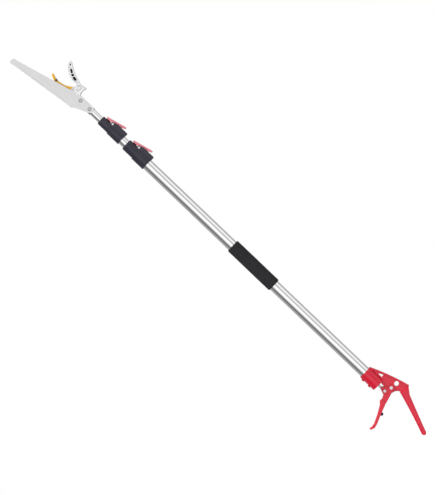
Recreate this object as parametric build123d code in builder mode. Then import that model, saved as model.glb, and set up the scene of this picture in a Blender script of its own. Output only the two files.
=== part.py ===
from build123d import *
import os
from math import cos, radians, sin, tan

# Telescoping pole saw with a cut and hold head, closed up, with its jaws open and its saw mounted.
# Millimetres. +Z runs up the pole to the head, +X is the side of the lock levers, and the saw lies on
# the -Y side. The origin is the middle of the foam grip. Outlines are drawn as seen from the saw side.

# Clearances
FIT = 0.1
SLIDE = 0.1
RUN = 0.05
AIR = 0.35
WIRE_SIDES = 6

# Foam grip
GRIP_LENGTH = 148.0
GRIP_OD = 37.0
GRIP_ROUND = 3.0

# Tubes of the pole
TUBE_WALL = 1.2
BASE_OD = 30.0
MID_OD = 24.0
TOP_OD = 18.0
BASE_BELOW_GRIP = 366.0
BASE_ABOVE_GRIP = 342.0
MID_FOOT_RISE = 78.0
TOP_FOOT_RISE = 15.0
BUSH_LENGTH = 25.0
BUSH_FLANGE = 2.0
GLIDE_LENGTH = 20.0
GLIDE_LIP = 3.0

# Locks
LOCK_SKIRT = 40.0
LOCK_COLLAR = 35.0
LOCK_SKIRT_WALL = 2.6
LOCK_COLLAR_WALL = 3.75
LOCK_ROUND = 2.0
LOCK_SPACING = 16.0
LOCK_PIN_D = 4.0
LOCK_PIN_HEAD_D = 6.0
LOCK_PIN_HEAD = 0.8
LOCK_PIN_OUT = 4.6
LOCK_PIN_RISE = 4.5
EAR_REACH = 8.4
EAR_WALL = 3.0
EAR_DROP = 9.0
EAR_RISE = 5.0
EAR_FLOOR = 5.0
LEVER_WIDTH = 15.0
LEVER_SHEET = 1.8
LEVER_HUB_R = 3.4
LEVER_NOSE_TOP = (4.4, 23.8)
LEVER_NOSE_FOOT = (0.6, 22.0)
LEVER_TAIL_OUT = (18.0, -31.0)
LEVER_TAIL_IN = (13.5, -32.5)
LEVER_END_ROUND = 1.5
SLOT_DEPTH = 0.6
PAD_FOOT = 9.0
PAD_HEIGHT = 11.5
PAD_WIDTH = 10.8
PAD_GAP = 0.2
LOCK_SPRING_DROP = 16.0
LOCK_SPRING_D = 6.0
LOCK_SPRING_WIRE = 0.9
LOCK_SPRING_LENGTH = 11.0
LOCK_SPRING_TURNS = 4

# Handle casting, drawn from the middle of the socket's lower face
SOCKET_DEPTH = 42.0
SOCKET_FLOOR = 6.0
SOCKET_WALL = 3.0
SOCKET_ROUND = 1.2
SOCKET_SCREW_D = 5.0
SOCKET_SCREW_HEAD_D = 8.0
SOCKET_SCREW_HEAD = 2.6
SOCKET_SCREW_REACH = 6.0
SOCKET_SCREW_FOOT = 15.0
SOCKET_SCREW_SPACING = 22.4
ROD_DOOR_D = 11.0
WEB_THICKNESS = 10.8
REAR_GRIP_THICKNESS = 20.0
REAR_GRIP_ROUND = 4.5
RIM_THICKNESS = 16.0
RIM_WIDTH = 5.5
BRACE_HEAD = (12.0, 47.0)
BRACE_SHOULDER = (19.0, 47.0)
BRACE_MID = (38.4, -2.5)
KNEE = (54.5, -57.0)
KNEE_FOOT = (37.5, -76.0)
KNEE_GRIP = (51.5, -58.5)
WEB_FOOT = (36.0, -68.0)
ARCH_FOOT = (27.5, -57.5)
REAR_FOOT = (-2.3, -172.5)
FRONT_FOOT = (-14.2, -167.8)
FRONT_MID = (6.3, -112.0)
FRONT_TOP = (25.0, -53.0)
ARCH_MID = (19.5, -43.5)
LUG_FOOT = (10.0, -40.0)
LUG_SIDE = 7.6
LUG_HEAD = -8.0
WINDOW = [(21.5, 22.0), (20.4, 8.0), (28.6, 8.0)]
WINDOW_ROUND = 0.8
HANG_HOLE = (35.2, -31.4)
HANG_HOLE_D = 12.5

# Trigger, on the same drawing origin
TRIGGER_PIVOT = (17.5, -28.5)
TRIGGER_TRAVEL = 47.0
TRIGGER_ARM_ANGLE = 20.0
TRIGGER_PIN_D = 6.0
TRIGGER_PIN_HEAD_D = 9.0
PIN_HEAD = 1.6
CHEEK_WALL = 3.2
TRIGGER_WIDTH = 15.6
TRIGGER_ROUND = 2.0
ARM_ROUND = 2.3
CHEEK_REAR_R = 8.6
CHEEK_ROUND = 2.5
FORK_GAP_R = 33.0
CHEEK_HORN = (-2.0, -7.5)
CHEEK_HORN_BACK = (5.5, -10.5)
CHEEK_BACK = (10.5, -19.0)
CHEEK_FRONT = (-9.0, -27.5)
CHEEK_NECK_TOP = (-20.0, -32.5)
CHEEK_NECK_FOOT = (-20.0, -46.5)
CHEEK_FOOT = (9.0, -38.6)
NUB_FOOT = (-14.0, -31.5)
NUB_TOP = (-27.0, -31.0)
NUB_FRONT = (-34.0, -38.2)
FINGER_MID = (-56.0, -50.5)
FINGER_END = (-79.5, -61.0)
HOOK_MID = (-89.0, -62.6)
HOOK_TIP = (-97.6, -60.6)
HOOK_BACK = (-97.4, -65.6)
HOOK_FOOT = (-86.5, -69.8)
BACK_END = (-73.0, -66.3)
BACK_MID = (-50.0, -57.0)
BACK_TOP = (-11.0, -43.0)
BUMPER_AT = (-49.0, -56.8)
BUMPER_TURN = 22.0
BUMPER_D = 9.0
BUMPER_HEIGHT = 6.0
BUMPER_STEM_D = 4.0
BUMPER_STEM = 5.0

# Pull rod
ROD_STROKE = 15.1
BASE_ROD_D = 6.0
MID_ROD_D = 9.6
TOP_ROD_D = 13.0
ROD_TUBE_WALL = 1.4
BASE_ROD_REACH = 400.0
MID_ROD_FOOT = 17.0
MID_ROD_HEAD = 35.0
TOP_ROD_FOOT = 27.0
TOP_ROD_HEAD = 13.0
COLLET_LENGTH = 16.0
COLLET_SEAT = 8.0
COLLET_WALL = 1.7
ROD_END_WIDTH = 10.4
ROD_END_DEPTH = 10.6
ROD_END_HEAD = 9.0
ROD_END_FOOT = 6.0
ROD_THREAD = 5.0
ROD_PIN_D = 5.0
ROD_PIN_HEAD_D = 8.0
PIN_SLOT_PLAY = 0.4
PLUG_LENGTH = 18.0
COLLAR_D = 18.0
COLLAR_LENGTH = 7.0
RETURN_SPRING_D = 12.0
RETURN_SPRING_WIRE = 1.8
RETURN_SPRING_LENGTH = 37.0
RETURN_SPRING_TURNS = 5

# Neck
TOP_TUBE_SHOWING = 30.0
NECK_LENGTH = 50.0
NECK_WALL = 1.0
NECK_PAD_WIDTH = 13.0
NECK_PAD_RISE = 0.8
NECK_ROUND = 0.8
SPIGOT_LENGTH = 18.0
HEAD_SEAT = 17.0

# Head casting, drawn from the middle of the neck's upper end
HEAD_THICKNESS = 18.0
HEAD_ROUND = 0.9
HEAD_GAP = 11.2
PIVOT = (20.5, 16.0)
PIVOT_BOLT_D = 7.0
PIVOT_HEAD_D = 13.0
PIVOT_HEAD = 2.4
PIVOT_CROWN_D = 9.4
PIVOT_CROWN = 1.0
PIVOT_NUT_ACROSS = 12.0
PIVOT_NUT = 5.0
HUB_ROOM_R = 11.8
HEAD_LEFT_FOOT = (-8.2, 0.0)
HEAD_LEFT_TOP = (-7.6, 21.0)
HEAD_LEFT_CORNER = (-5.5, 26.6)
HEAD_RIGHT_CORNER = (14.0, 26.6)
BROW_MID = (23.5, 24.0)
BROW_END = (30.6, 18.4)
SPUR_BACK = (32.3, 10.0)
SPUR_TIP = (33.6, 2.6)
SPUR_TOE = (31.8, 1.8)
SPUR_ARCH = (21.0, 4.4)
HEAD_RIGHT_FOOT = (9.2, 0.0)
SLOT_FLOOR = 1.0
HEAD_WINDOW = [(-2.2, 6.0), (9.6, 6.0), (12.2, 11.0), (12.2, 18.0), (9.8, 22.4), (-2.2, 22.4)]
HEAD_WINDOW_ROUND = 1.6
BRIDGE_HEIGHT = 3.2
SPINE_WIDTH = 4.6
SPINE_HEIGHT = 7.6
SPINE_THICKNESS = 4.0
SPINE_AT = -2.7

# Jaws, on the head's drawing origin, as they lie when closed
JAW_TRAVEL = 40.5
TAIL_ANGLE = 27.5
CONTACT_CENTRE = (48.4, 67.5)
CONTACT_R = 50.7
CONTACT_HEEL = 228.0
CONTACT_TOE = 158.6
JAW_GAP = 0.8
FIXED_JAW_THICKNESS = 10.0
FIXED_JAW_ROUND = 1.0
FIXED_OUTER_MID = (-12.2, 62.0)
FIXED_TOE_LEAD = 6.0
FIXED_TIP_WIDTH = 5.2
FIXED_TIP_ROUND = 1.4
GROOVE_WIDTH = 4.4
GROOVE_DEPTH = 6.0
BLADE_SHEET = 1.8
BLADE_GAP = 0.2
COUNTER_PROUD = 1.5
BLADE_HEEL_INSET = 8.0
BLADE_TOE_INSET = 1.4
CUTTING_PROUD = 1.6
CUTTING_HEEL = 6.0
CUTTING_MID = 7.4
CUTTING_TOE = 3.2
CUTTING_TANG_INSET = 0.6
CUTTING_TANG_SET = 1.0
JAW_SCREW_LEAD = 15.0
JAW_SCREW_BACK = 2.6
JAW_SCREW_FOOT = (-2.9, 34.2)
JAW_SCREW_D = 3.0
JAW_SCREW_HEAD_D = 6.0
JAW_SCREW_HEAD = 1.2
MOVING_JAW_THICKNESS = 12.4
JAW_THICK_R = 14.6
JAW_HUB_R = 7.2
JAW_HEEL_NECK = (14.6, 20.5)
JAW_TIP = (6.3, 89.2)
JAW_TIP_BACK = (9.0, 86.3)
JAW_BACK_MID = (15.3, 51.7)
JAW_BACK_FOOT = (27.2, 24.0)
JAW_ROUND = 0.8
TAIL_THICKNESS = 5.8
TAIL_WALL = 2.0
FORK_PIN_D = 4.5
POCKETS = [
    [(2.6, 67.8), (6.6, 68.4), (8.8, 57.6), (3.4, 57.0)],
    [(3.6, 54.4), (9.6, 55.0), (11.4, 49.4), (5.2, 48.6)],
    [(6.6, 46.0), (12.6, 46.8), (16.4, 38.0), (11.6, 36.4), (8.2, 41.0)],
    [(3.4, 81.6), (5.9, 82.0), (5.2, 76.6), (2.6, 77.6)],
]
POCKET_ROUND = 0.8
POCKET_WEB = 5.2
BLADE_RIVET_DEPTH = 4.0
BLADE_RIVET_TOE = 14.6
BLADE_RIVET_HEEL = 3.6
BLADE_RIVET_D = 2.6
BLADE_RIVET_PROUD = 0.3

# Fork at the head of the pull rod
FORK_WIDTH = 9.6
FORK_DEPTH = 10.0
TINE_GAP = 6.4
FORK_CROWN = 4.4
FORK_CROTCH = 6.4
FORK_FOOT = 16.8
FORK_SHANK_D = 10.0
FORK_ROUND = 1.0

# Saw, drawn from its upper screw
SAW_THICKNESS = 1.5
SAW_SCREW_SPACING = 32.0
SAW_SCREW_INSET = 9.0
SAW_SCREW_D = 5.0
SAW_SCREW_HEAD_D = 8.0
SAW_SCREW_HEAD = 2.2
SAW_SCREW_DEPTH = 3.5
SAW_RECESS = 1.0
SAW_RECESS_ARM = 4.6
SAW_RECESS_WIDTH = 1.2
SAW_WASHER_D = 10.0
SAW_WASHER = 0.8
SAW_BACK_FOOT = (10.8, 4.5)
SAW_BACK_TOP = (-38.6, 192.0)
SAW_TIP_TOP = (-48.5, 201.5)
SAW_TIP_CORNER = (-54.6, 198.0)
SAW_END_RIGHT = (10.6, -35.0)
SAW_END_FOOT = (0.0, -43.0)
SAW_END_LEFT = (-8.0, -38.0)
SAW_HEEL = (-25.4, 2.0)
SAW_NOSE = (-29.8, 6.0)
SAW_NOSE_TOP = (-29.6, 12.4)
TOOTH_HEEL = (-31.0, 17.7)
TOOTH_TOE = (-53.8, 191.0)
TOOTH_PITCHES = 29
GULLET_DEPTH = 3.2
NOTCH_DEPTH = 1.5

# Heights along the pole
BASE_BOTTOM = -GRIP_LENGTH / 2 - BASE_BELOW_GRIP
BASE_TOP = GRIP_LENGTH / 2 + BASE_ABOVE_GRIP
MID_BOTTOM = BASE_BOTTOM + MID_FOOT_RISE
TOP_BOTTOM = MID_BOTTOM + TOP_FOOT_RISE
SOCKET_BOTTOM = BASE_BOTTOM - SOCKET_FLOOR
LOWER_STEP = BASE_TOP + BUSH_FLANGE
UPPER_STEP = LOWER_STEP + LOCK_COLLAR + LOCK_SPACING + LOCK_SKIRT
MID_TOP = UPPER_STEP - BUSH_FLANGE
NECK_BOTTOM = UPPER_STEP + LOCK_COLLAR + TOP_TUBE_SHOWING
NECK_TOP = NECK_BOTTOM + NECK_LENGTH
TOP_TOP = NECK_TOP - HEAD_SEAT + SLOT_FLOOR
SAW_SCREW_TOP = NECK_TOP - SAW_SCREW_INSET
SAW_SCREW_HEIGHTS = [SAW_SCREW_TOP, SAW_SCREW_TOP - SAW_SCREW_SPACING]
SOCKET_SCREW_LOW = SOCKET_BOTTOM + SOCKET_SCREW_FOOT
SOCKET_SCREW_HEIGHTS = [SOCKET_SCREW_LOW, SOCKET_SCREW_LOW + SOCKET_SCREW_SPACING]

# Sizes that follow from the ones above
BASE_ID = BASE_OD - 2 * TUBE_WALL
MID_ID = MID_OD - 2 * TUBE_WALL
TOP_ID = TOP_OD - 2 * TUBE_WALL
SOCKET_OD = BASE_OD + 2 * FIT + 2 * SOCKET_WALL
NECK_OD = TOP_OD + 2 * FIT + 2 * NECK_WALL
NECK_PAD_Y = NECK_OD / 2 + NECK_PAD_RISE
CHEEK_IN = WEB_THICKNESS / 2 + AIR
CHEEK_OUT = CHEEK_IN + CHEEK_WALL
TRIGGER_REACH = TRIGGER_PIVOT[0]
ROD_PIN_RISE = TRIGGER_REACH * tan(radians(TRIGGER_ARM_ANGLE))
ROD_PIN_AT = SOCKET_BOTTOM + TRIGGER_PIVOT[1] + ROD_PIN_RISE
TAIL_REST = JAW_TRAVEL - TAIL_ANGLE
FORK_PIN_AT = NECK_TOP + PIVOT[1] + PIVOT[0] * tan(radians(TAIL_REST))
FORK_BOTTOM = FORK_PIN_AT - FORK_FOOT
BRIDGE_BOTTOM = HEAD_RIGHT_CORNER[1]
BRIDGE_TOP = BRIDGE_BOTTOM + BRIDGE_HEIGHT
FIXED_R = CONTACT_R + JAW_GAP / 2
BELLY_R = CONTACT_R - JAW_GAP / 2
FIXED_TOE = CONTACT_TOE - FIXED_TOE_LEAD
COUNTER_HEEL = CONTACT_HEEL - BLADE_HEEL_INSET
COUNTER_TOE = CONTACT_TOE + BLADE_TOE_INSET
CUTTING_TANG = CONTACT_HEEL - CUTTING_TANG_INSET
TOP_ROD_TOP = NECK_BOTTOM + TOP_ROD_HEAD
MID_ROD_BOTTOM = MID_BOTTOM + MID_ROD_FOOT
TOP_ROD_BOTTOM = TOP_BOTTOM + TOP_ROD_FOOT


def side_plane(x, z, turn=0.0):
    """A drawing plane across Y at a point of the pole's side view, its axes turned clockwise."""
    angle = radians(turn)
    return Plane(origin=(x, 0, z), x_dir=(cos(angle), 0, -sin(angle)), z_dir=(0, -1, 0))


HANDLE = side_plane(0, SOCKET_BOTTOM)
HEAD = side_plane(0, NECK_TOP)
JAW = side_plane(PIVOT[0], NECK_TOP + PIVOT[1], JAW_TRAVEL)


def save(part, label):
    """Label a finished piece and write it to its own file."""
    part.label = label
    os.makedirs("parts", exist_ok=True)
    export_step(part, f"parts/{label}.step")


def from_pivot(point):
    """A point of the closed jaws' drawing, measured from the jaw pivot."""
    return (point[0] - PIVOT[0], point[1] - PIVOT[1])


def on_circle(centre, radius, angle):
    """The point of a circle at an angle in degrees."""
    return (centre[0] + radius * cos(radians(angle)), centre[1] + radius * sin(radians(angle)))


def sleeve(outside, bore, bottom, top):
    """A plain round sleeve on the pole's axis."""
    with BuildPart() as body:
        with BuildSketch(Plane.XY.offset(bottom)):
            Circle(outside / 2)
            Circle(bore / 2, mode=Mode.SUBTRACT)
        extrude(amount=top - bottom)
    return body.part


def stepped_sleeve(wide, wide_bore, narrow, narrow_bore, bottom, step, top):
    """A round sleeve of two diameters, the first from bottom to step and the second from step to top."""
    with BuildPart() as body:
        add(sleeve(wide, wide_bore, bottom, step))
        add(sleeve(narrow, narrow_bore, step, top))
    return body.part


def headed_pin(plane, shank_d, head_d, head, reach):
    """A pin across Y with a low head past each end of its reach."""
    with BuildPart() as body:
        with BuildSketch(plane):
            Circle(shank_d / 2)
        extrude(amount=reach, both=True)
        with BuildSketch(plane.offset(reach), plane.offset(-reach - head)):
            Circle(head_d / 2)
        extrude(amount=head)
        ends = body.faces().sort_by(Axis.Y)
        chamfer(ends[0].edges() + ends[-1].edges(), length=head / 3)
    return body.part


def coil_spring(base, mean_d, wire_d, length, turns):
    """One unbroken wire wound up the base plane's normal, on a biarc for each half turn."""
    rise = (length - wire_d) / turns
    points = []
    tangents = []
    for step in range(2 * turns + 1):
        angle = radians(180 * step)
        points.append(Vector(mean_d / 2 * cos(angle), mean_d / 2 * sin(angle), wire_d / 2 + rise * step / 2))
        run = Vector(-mean_d / 2 * sin(angle), mean_d / 2 * cos(angle), rise / radians(360))
        tangents.append(run.normalized())
    with BuildPart() as body:
        with BuildLine() as wire:
            for start, end, leave, arrive in zip(points, points[1:], tangents, tangents[1:]):
                chord = end - start
                spread = 2 * (1 - leave.dot(arrive))
                along = chord.dot(leave + arrive)
                reach = ((along**2 + spread * chord.dot(chord)) ** 0.5 - along) / spread
                first = start + leave * reach
                second = end - arrive * reach
                join = (first + second) * 0.5
                TangentArc(start, join, tangent=leave)
                TangentArc(join, end, tangent=second - first)
        with BuildSketch(Plane(origin=points[0], z_dir=tangents[0])):
            RegularPolygon(wire_d / 2, WIRE_SIDES)
        sweep(path=wire.wires()[0])
    print(f"spring of {turns} turns, least gap between turns {rise - wire_d:.2f} mm")
    return body.part.moved(base.location)


# Tubes of the pole

with BuildPart() as base_tube:
    add(sleeve(BASE_OD, BASE_ID, BASE_BOTTOM, BASE_TOP))
    with BuildSketch(Plane.YZ):
        with Locations(*[(0, height) for height in SOCKET_SCREW_HEIGHTS]):
            Circle(SOCKET_SCREW_D / 2 + FIT)
    extrude(amount=-BASE_OD, mode=Mode.SUBTRACT)
save(base_tube.part, "base_tube")

save(sleeve(MID_OD, MID_ID, MID_BOTTOM, MID_TOP), "mid_tube")

with BuildPart() as top_tube:
    add(sleeve(TOP_OD, TOP_ID, TOP_BOTTOM, TOP_TOP))
    with BuildSketch(side_plane(0, SAW_SCREW_HEIGHTS[1])):
        Circle(SAW_SCREW_D / 2 + FIT)
    extrude(amount=TOP_OD, mode=Mode.SUBTRACT)
save(top_tube.part, "top_tube")


def mouth_bush(tube_od, tube_id, inner_od, tube_top):
    """A guide bush in a tube's mouth, with a flange on the tube's end."""
    bore = inner_od + 2 * SLIDE
    body_od = tube_id - 2 * FIT
    flange_top = tube_top + BUSH_FLANGE
    return stepped_sleeve(body_od, bore, tube_od, bore, tube_top - BUSH_LENGTH, tube_top, flange_top)


def foot_glide(outer_id, tube_od, tube_id, tube_bottom):
    """A glide ring on a tube's foot, with a lip under the tube's end."""
    body_od = outer_id - 2 * SLIDE
    bore = tube_od + 2 * FIT
    lip = tube_bottom - GLIDE_LIP
    return stepped_sleeve(body_od, tube_id, body_od, bore, lip, tube_bottom, tube_bottom + GLIDE_LENGTH)


save(mouth_bush(BASE_OD, BASE_ID, MID_OD, BASE_TOP), "base_tube_bush")
save(mouth_bush(MID_OD, MID_ID, TOP_OD, MID_TOP), "mid_tube_bush")
save(foot_glide(BASE_ID, MID_OD, MID_ID, MID_BOTTOM), "mid_tube_glide")
save(foot_glide(MID_ID, TOP_OD, TOP_ID, TOP_BOTTOM), "top_tube_glide")

with BuildPart() as foam_grip:
    add(sleeve(GRIP_OD, BASE_OD + 2 * FIT, -GRIP_LENGTH / 2, GRIP_LENGTH / 2))
    rims = foam_grip.edges().filter_by(GeomType.CIRCLE).filter_by(lambda edge: edge.radius > (BASE_OD + GRIP_OD) / 4)
    chamfer(rims, length=GRIP_ROUND)
save(foam_grip.part, "foam_grip")


# Handle casting: rear grip, web, rim along the brace, socket

with BuildPart() as handle_casting:
    with BuildSketch(HANDLE):
        with BuildLine():
            front = ThreePointArc(FRONT_TOP, FRONT_MID, FRONT_FOOT)
            tip = TangentArc(FRONT_FOOT, REAR_FOOT, tangent=front % 1)
            TangentArc(REAR_FOOT, KNEE_FOOT, tangent=tip % 1)
            Polyline(KNEE_FOOT, KNEE_GRIP, FRONT_TOP)
        make_face()
    extrude(amount=REAR_GRIP_THICKNESS / 2, both=True)
    sides = handle_casting.faces().filter_by(Axis.Y)
    fillet(sides.edges(), radius=REAR_GRIP_ROUND)
    with BuildSketch(HANDLE):
        with BuildLine():
            ThreePointArc(BRACE_SHOULDER, BRACE_MID, KNEE)
            Polyline(KNEE, WEB_FOOT, ARCH_FOOT)
            ThreePointArc(ARCH_FOOT, ARCH_MID, LUG_FOOT)
            Polyline(LUG_FOOT, (LUG_SIDE, TRIGGER_PIVOT[1]), (LUG_SIDE, LUG_HEAD), BRACE_HEAD, BRACE_SHOULDER)
        make_face()
    extrude(amount=WEB_THICKNESS / 2, both=True)
    with BuildSketch(HANDLE):
        with BuildLine():
            ThreePointArc(BRACE_SHOULDER, BRACE_MID, KNEE)
            Polyline(KNEE, WEB_FOOT, (KNEE[0] - RIM_WIDTH, KNEE[1]))
            ThreePointArc(
                (KNEE[0] - RIM_WIDTH, KNEE[1]),
                (BRACE_MID[0] - RIM_WIDTH, BRACE_MID[1]),
                (BRACE_SHOULDER[0] - RIM_WIDTH, BRACE_SHOULDER[1]),
            )
            Line((BRACE_SHOULDER[0] - RIM_WIDTH, BRACE_SHOULDER[1]), BRACE_SHOULDER)
        make_face()
    extrude(amount=RIM_THICKNESS / 2, both=True)
    with BuildSketch(HANDLE):
        with BuildLine():
            Polyline(*WINDOW, close=True)
        window = make_face()
        fillet(window.vertices(), radius=WINDOW_ROUND)
        with Locations(HANG_HOLE):
            Circle(HANG_HOLE_D / 2)
        with Locations(TRIGGER_PIVOT):
            Circle(TRIGGER_PIN_D / 2 + RUN)
    extrude(amount=REAR_GRIP_THICKNESS, both=True, mode=Mode.SUBTRACT)
    with BuildSketch(Plane.XY.offset(SOCKET_BOTTOM)):
        Circle(SOCKET_OD / 2)
    extrude(amount=SOCKET_FLOOR + SOCKET_DEPTH)
    with BuildSketch(Plane.XY.offset(BASE_BOTTOM)):
        Circle(BASE_OD / 2 + FIT)
    extrude(amount=SOCKET_DEPTH, mode=Mode.SUBTRACT)
    with BuildSketch(Plane.XY.offset(SOCKET_BOTTOM)):
        Circle(ROD_DOOR_D / 2)
    extrude(amount=SOCKET_FLOOR, mode=Mode.SUBTRACT)
    with BuildSketch(Plane.YZ):
        with Locations(*[(0, height) for height in SOCKET_SCREW_HEIGHTS]):
            Circle(SOCKET_SCREW_D / 2 + FIT)
    extrude(amount=-SOCKET_OD, mode=Mode.SUBTRACT)
save(handle_casting.part, "handle_casting")

with BuildPart() as socket_screws:
    with BuildSketch(Plane.YZ.offset(-SOCKET_OD / 2)):
        with Locations(*[(0, height) for height in SOCKET_SCREW_HEIGHTS]):
            Circle(SOCKET_SCREW_HEAD_D / 2)
    extrude(amount=-SOCKET_SCREW_HEAD)
    chamfer(socket_screws.faces().sort_by(Axis.X)[:2].edges(), length=SOCKET_SCREW_HEAD / 3)
    with BuildSketch(Plane.YZ.offset(-SOCKET_OD / 2)):
        with Locations(*[(0, height) for height in SOCKET_SCREW_HEIGHTS]):
            Circle(SOCKET_SCREW_D / 2)
    extrude(amount=SOCKET_SCREW_REACH)
save(socket_screws.part, "socket_screws")

trigger_pivot = side_plane(TRIGGER_PIVOT[0], SOCKET_BOTTOM + TRIGGER_PIVOT[1])
trigger_pin = headed_pin(trigger_pivot, TRIGGER_PIN_D, TRIGGER_PIN_HEAD_D, PIN_HEAD, CHEEK_OUT + AIR)
save(trigger_pin, "trigger_pivot_pin")


# Trigger: finger lever, two cheeks that straddle the web's lug, slots for the rod's pin

slot_near = TRIGGER_REACH
slot_far = TRIGGER_REACH / cos(radians(TRIGGER_TRAVEL - TRIGGER_ARM_ANGLE))
slot_play = ROD_PIN_D + 2 * PIN_SLOT_PLAY

with BuildPart() as trigger_lever:
    with BuildSketch(HANDLE):
        with BuildLine():
            Polyline(NUB_FOOT, NUB_TOP, NUB_FRONT, FINGER_MID, FINGER_END, HOOK_MID, HOOK_TIP)
            Polyline(HOOK_TIP, HOOK_BACK, HOOK_FOOT, BACK_END, BACK_MID, BACK_TOP, NUB_FOOT)
        arm = make_face()
        fillet(arm.vertices(), radius=ARM_ROUND)
    extrude(amount=TRIGGER_WIDTH / 2, both=True)
    fillet(trigger_lever.faces().filter_by(Axis.Y).edges(), radius=TRIGGER_ROUND)
    with BuildSketch(HANDLE):
        with BuildLine():
            Polyline(CHEEK_FRONT, CHEEK_HORN, CHEEK_HORN_BACK, CHEEK_BACK, TRIGGER_PIVOT)
            Polyline(TRIGGER_PIVOT, CHEEK_FOOT, CHEEK_NECK_FOOT, CHEEK_NECK_TOP, CHEEK_FRONT)
        cheek = make_face()
        fillet(cheek.vertices().sort_by(Axis.Y)[-2:], radius=CHEEK_ROUND)
        with Locations(TRIGGER_PIVOT):
            Circle(CHEEK_REAR_R)
    extrude(amount=CHEEK_OUT, both=True)
    with BuildSketch(HANDLE):
        with Locations(TRIGGER_PIVOT):
            Circle(FORK_GAP_R)
    extrude(amount=CHEEK_IN, both=True, mode=Mode.SUBTRACT)
    with BuildSketch(HANDLE):
        with Locations(TRIGGER_PIVOT):
            Circle(TRIGGER_PIN_D / 2 + RUN)
        slot_middle = (slot_near + slot_far) / 2
        with Locations(on_circle(TRIGGER_PIVOT, slot_middle, 180 - TRIGGER_ARM_ANGLE)):
            SlotCenterToCenter(slot_far - slot_near, slot_play, rotation=-TRIGGER_ARM_ANGLE)
    extrude(amount=CHEEK_OUT, both=True, mode=Mode.SUBTRACT)
    bumper_seat = side_plane(BUMPER_AT[0], SOCKET_BOTTOM + BUMPER_AT[1], -BUMPER_TURN)
    bumper_face = Plane(origin=bumper_seat.origin, x_dir=(0, 1, 0), z_dir=-bumper_seat.y_dir)
    with BuildSketch(bumper_face):
        Circle(BUMPER_STEM_D / 2)
    extrude(amount=-BUMPER_STEM, mode=Mode.SUBTRACT)
save(trigger_lever.part, "trigger_lever")

with BuildPart() as trigger_bumper:
    with BuildSketch(bumper_face):
        Circle(BUMPER_D / 2)
    extrude(amount=BUMPER_HEIGHT)
    with BuildSketch(bumper_face):
        Circle(BUMPER_STEM_D / 2 - RUN)
    extrude(amount=-BUMPER_STEM + FIT)
save(trigger_bumper.part, "trigger_bumper")


# Pull rod: lower length with its end block, pin, spring and guide

rod_end_plane = side_plane(0, ROD_PIN_AT)

with BuildPart() as base_rod_end:
    with BuildSketch(rod_end_plane):
        with Locations((0, (ROD_END_HEAD - ROD_END_FOOT) / 2)):
            RectangleRounded(ROD_END_WIDTH, ROD_END_HEAD + ROD_END_FOOT, ROD_END_FOOT / 3)
        Circle(ROD_PIN_D / 2 + RUN, mode=Mode.SUBTRACT)
    extrude(amount=ROD_END_DEPTH / 2, both=True)
    with BuildSketch(Plane.XY.offset(ROD_PIN_AT + ROD_END_HEAD)):
        Circle(BASE_ROD_D / 2 + RUN)
    extrude(amount=-ROD_THREAD, mode=Mode.SUBTRACT)
save(base_rod_end.part, "base_rod_end")

with BuildPart() as base_rod:
    with BuildSketch(Plane.XY.offset(ROD_PIN_AT + ROD_END_HEAD - ROD_THREAD)):
        Circle(BASE_ROD_D / 2)
    extrude(amount=BASE_ROD_REACH - ROD_PIN_AT - ROD_END_HEAD + ROD_THREAD)
save(base_rod.part, "base_rod")

rod_pin = headed_pin(rod_end_plane, ROD_PIN_D, ROD_PIN_HEAD_D, PIN_HEAD, CHEEK_OUT + AIR)
save(rod_pin, "rod_pin")

plug_top = BASE_BOTTOM + PLUG_LENGTH

with BuildPart() as base_tube_plug:
    add(sleeve(BASE_ID - 2 * FIT, BASE_ROD_D + 2 * SLIDE, BASE_BOTTOM, plug_top))
    with BuildSketch(Plane.YZ):
        with Locations((0, SOCKET_SCREW_LOW)):
            Circle(SOCKET_SCREW_D / 2 + FIT)
    extrude(amount=-BASE_OD, mode=Mode.SUBTRACT)
save(base_tube_plug.part, "base_tube_plug")

return_spring = coil_spring(
    Plane.XY.offset(plug_top), RETURN_SPRING_D, RETURN_SPRING_WIRE, RETURN_SPRING_LENGTH, RETURN_SPRING_TURNS
)
save(return_spring, "return_spring")
collar_bottom = plug_top + RETURN_SPRING_LENGTH
save(sleeve(COLLAR_D, BASE_ROD_D + 2 * RUN, collar_bottom, collar_bottom + COLLAR_LENGTH), "spring_collar")


# Pull rod: middle and top lengths, each a tube with a friction collet at its foot

def rod_collet(rod_od, inner_od, rod_bottom):
    """A collet that holds a rod tube's foot and grips the rod inside it."""
    outside = rod_od + 2 * FIT + 2 * COLLET_WALL
    seat = rod_bottom + COLLET_SEAT
    grip_bottom = seat - COLLET_LENGTH
    bore = rod_od + 2 * FIT
    return stepped_sleeve(outside, inner_od + 2 * SLIDE, outside, bore, grip_bottom, rod_bottom, seat)


mid_rod_bore = MID_ROD_D - 2 * ROD_TUBE_WALL
top_rod_bore = TOP_ROD_D - 2 * ROD_TUBE_WALL
save(sleeve(MID_ROD_D, mid_rod_bore, MID_ROD_BOTTOM, MID_TOP - MID_ROD_HEAD), "mid_rod")
save(rod_collet(MID_ROD_D, BASE_ROD_D, MID_ROD_BOTTOM), "mid_rod_collet")
save(sleeve(TOP_ROD_D, top_rod_bore, TOP_ROD_BOTTOM, TOP_ROD_TOP), "top_rod")

with BuildPart() as top_rod_collet:
    add(sleeve(TOP_ID - 2 * SLIDE, MID_ROD_D + 2 * SLIDE, TOP_ROD_BOTTOM - COLLET_SEAT, TOP_ROD_BOTTOM))
    add(sleeve(TOP_ID - 2 * SLIDE, TOP_ROD_D + 2 * FIT, TOP_ROD_BOTTOM, TOP_ROD_BOTTOM + COLLET_SEAT))
save(top_rod_collet.part, "top_rod_collet")

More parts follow.
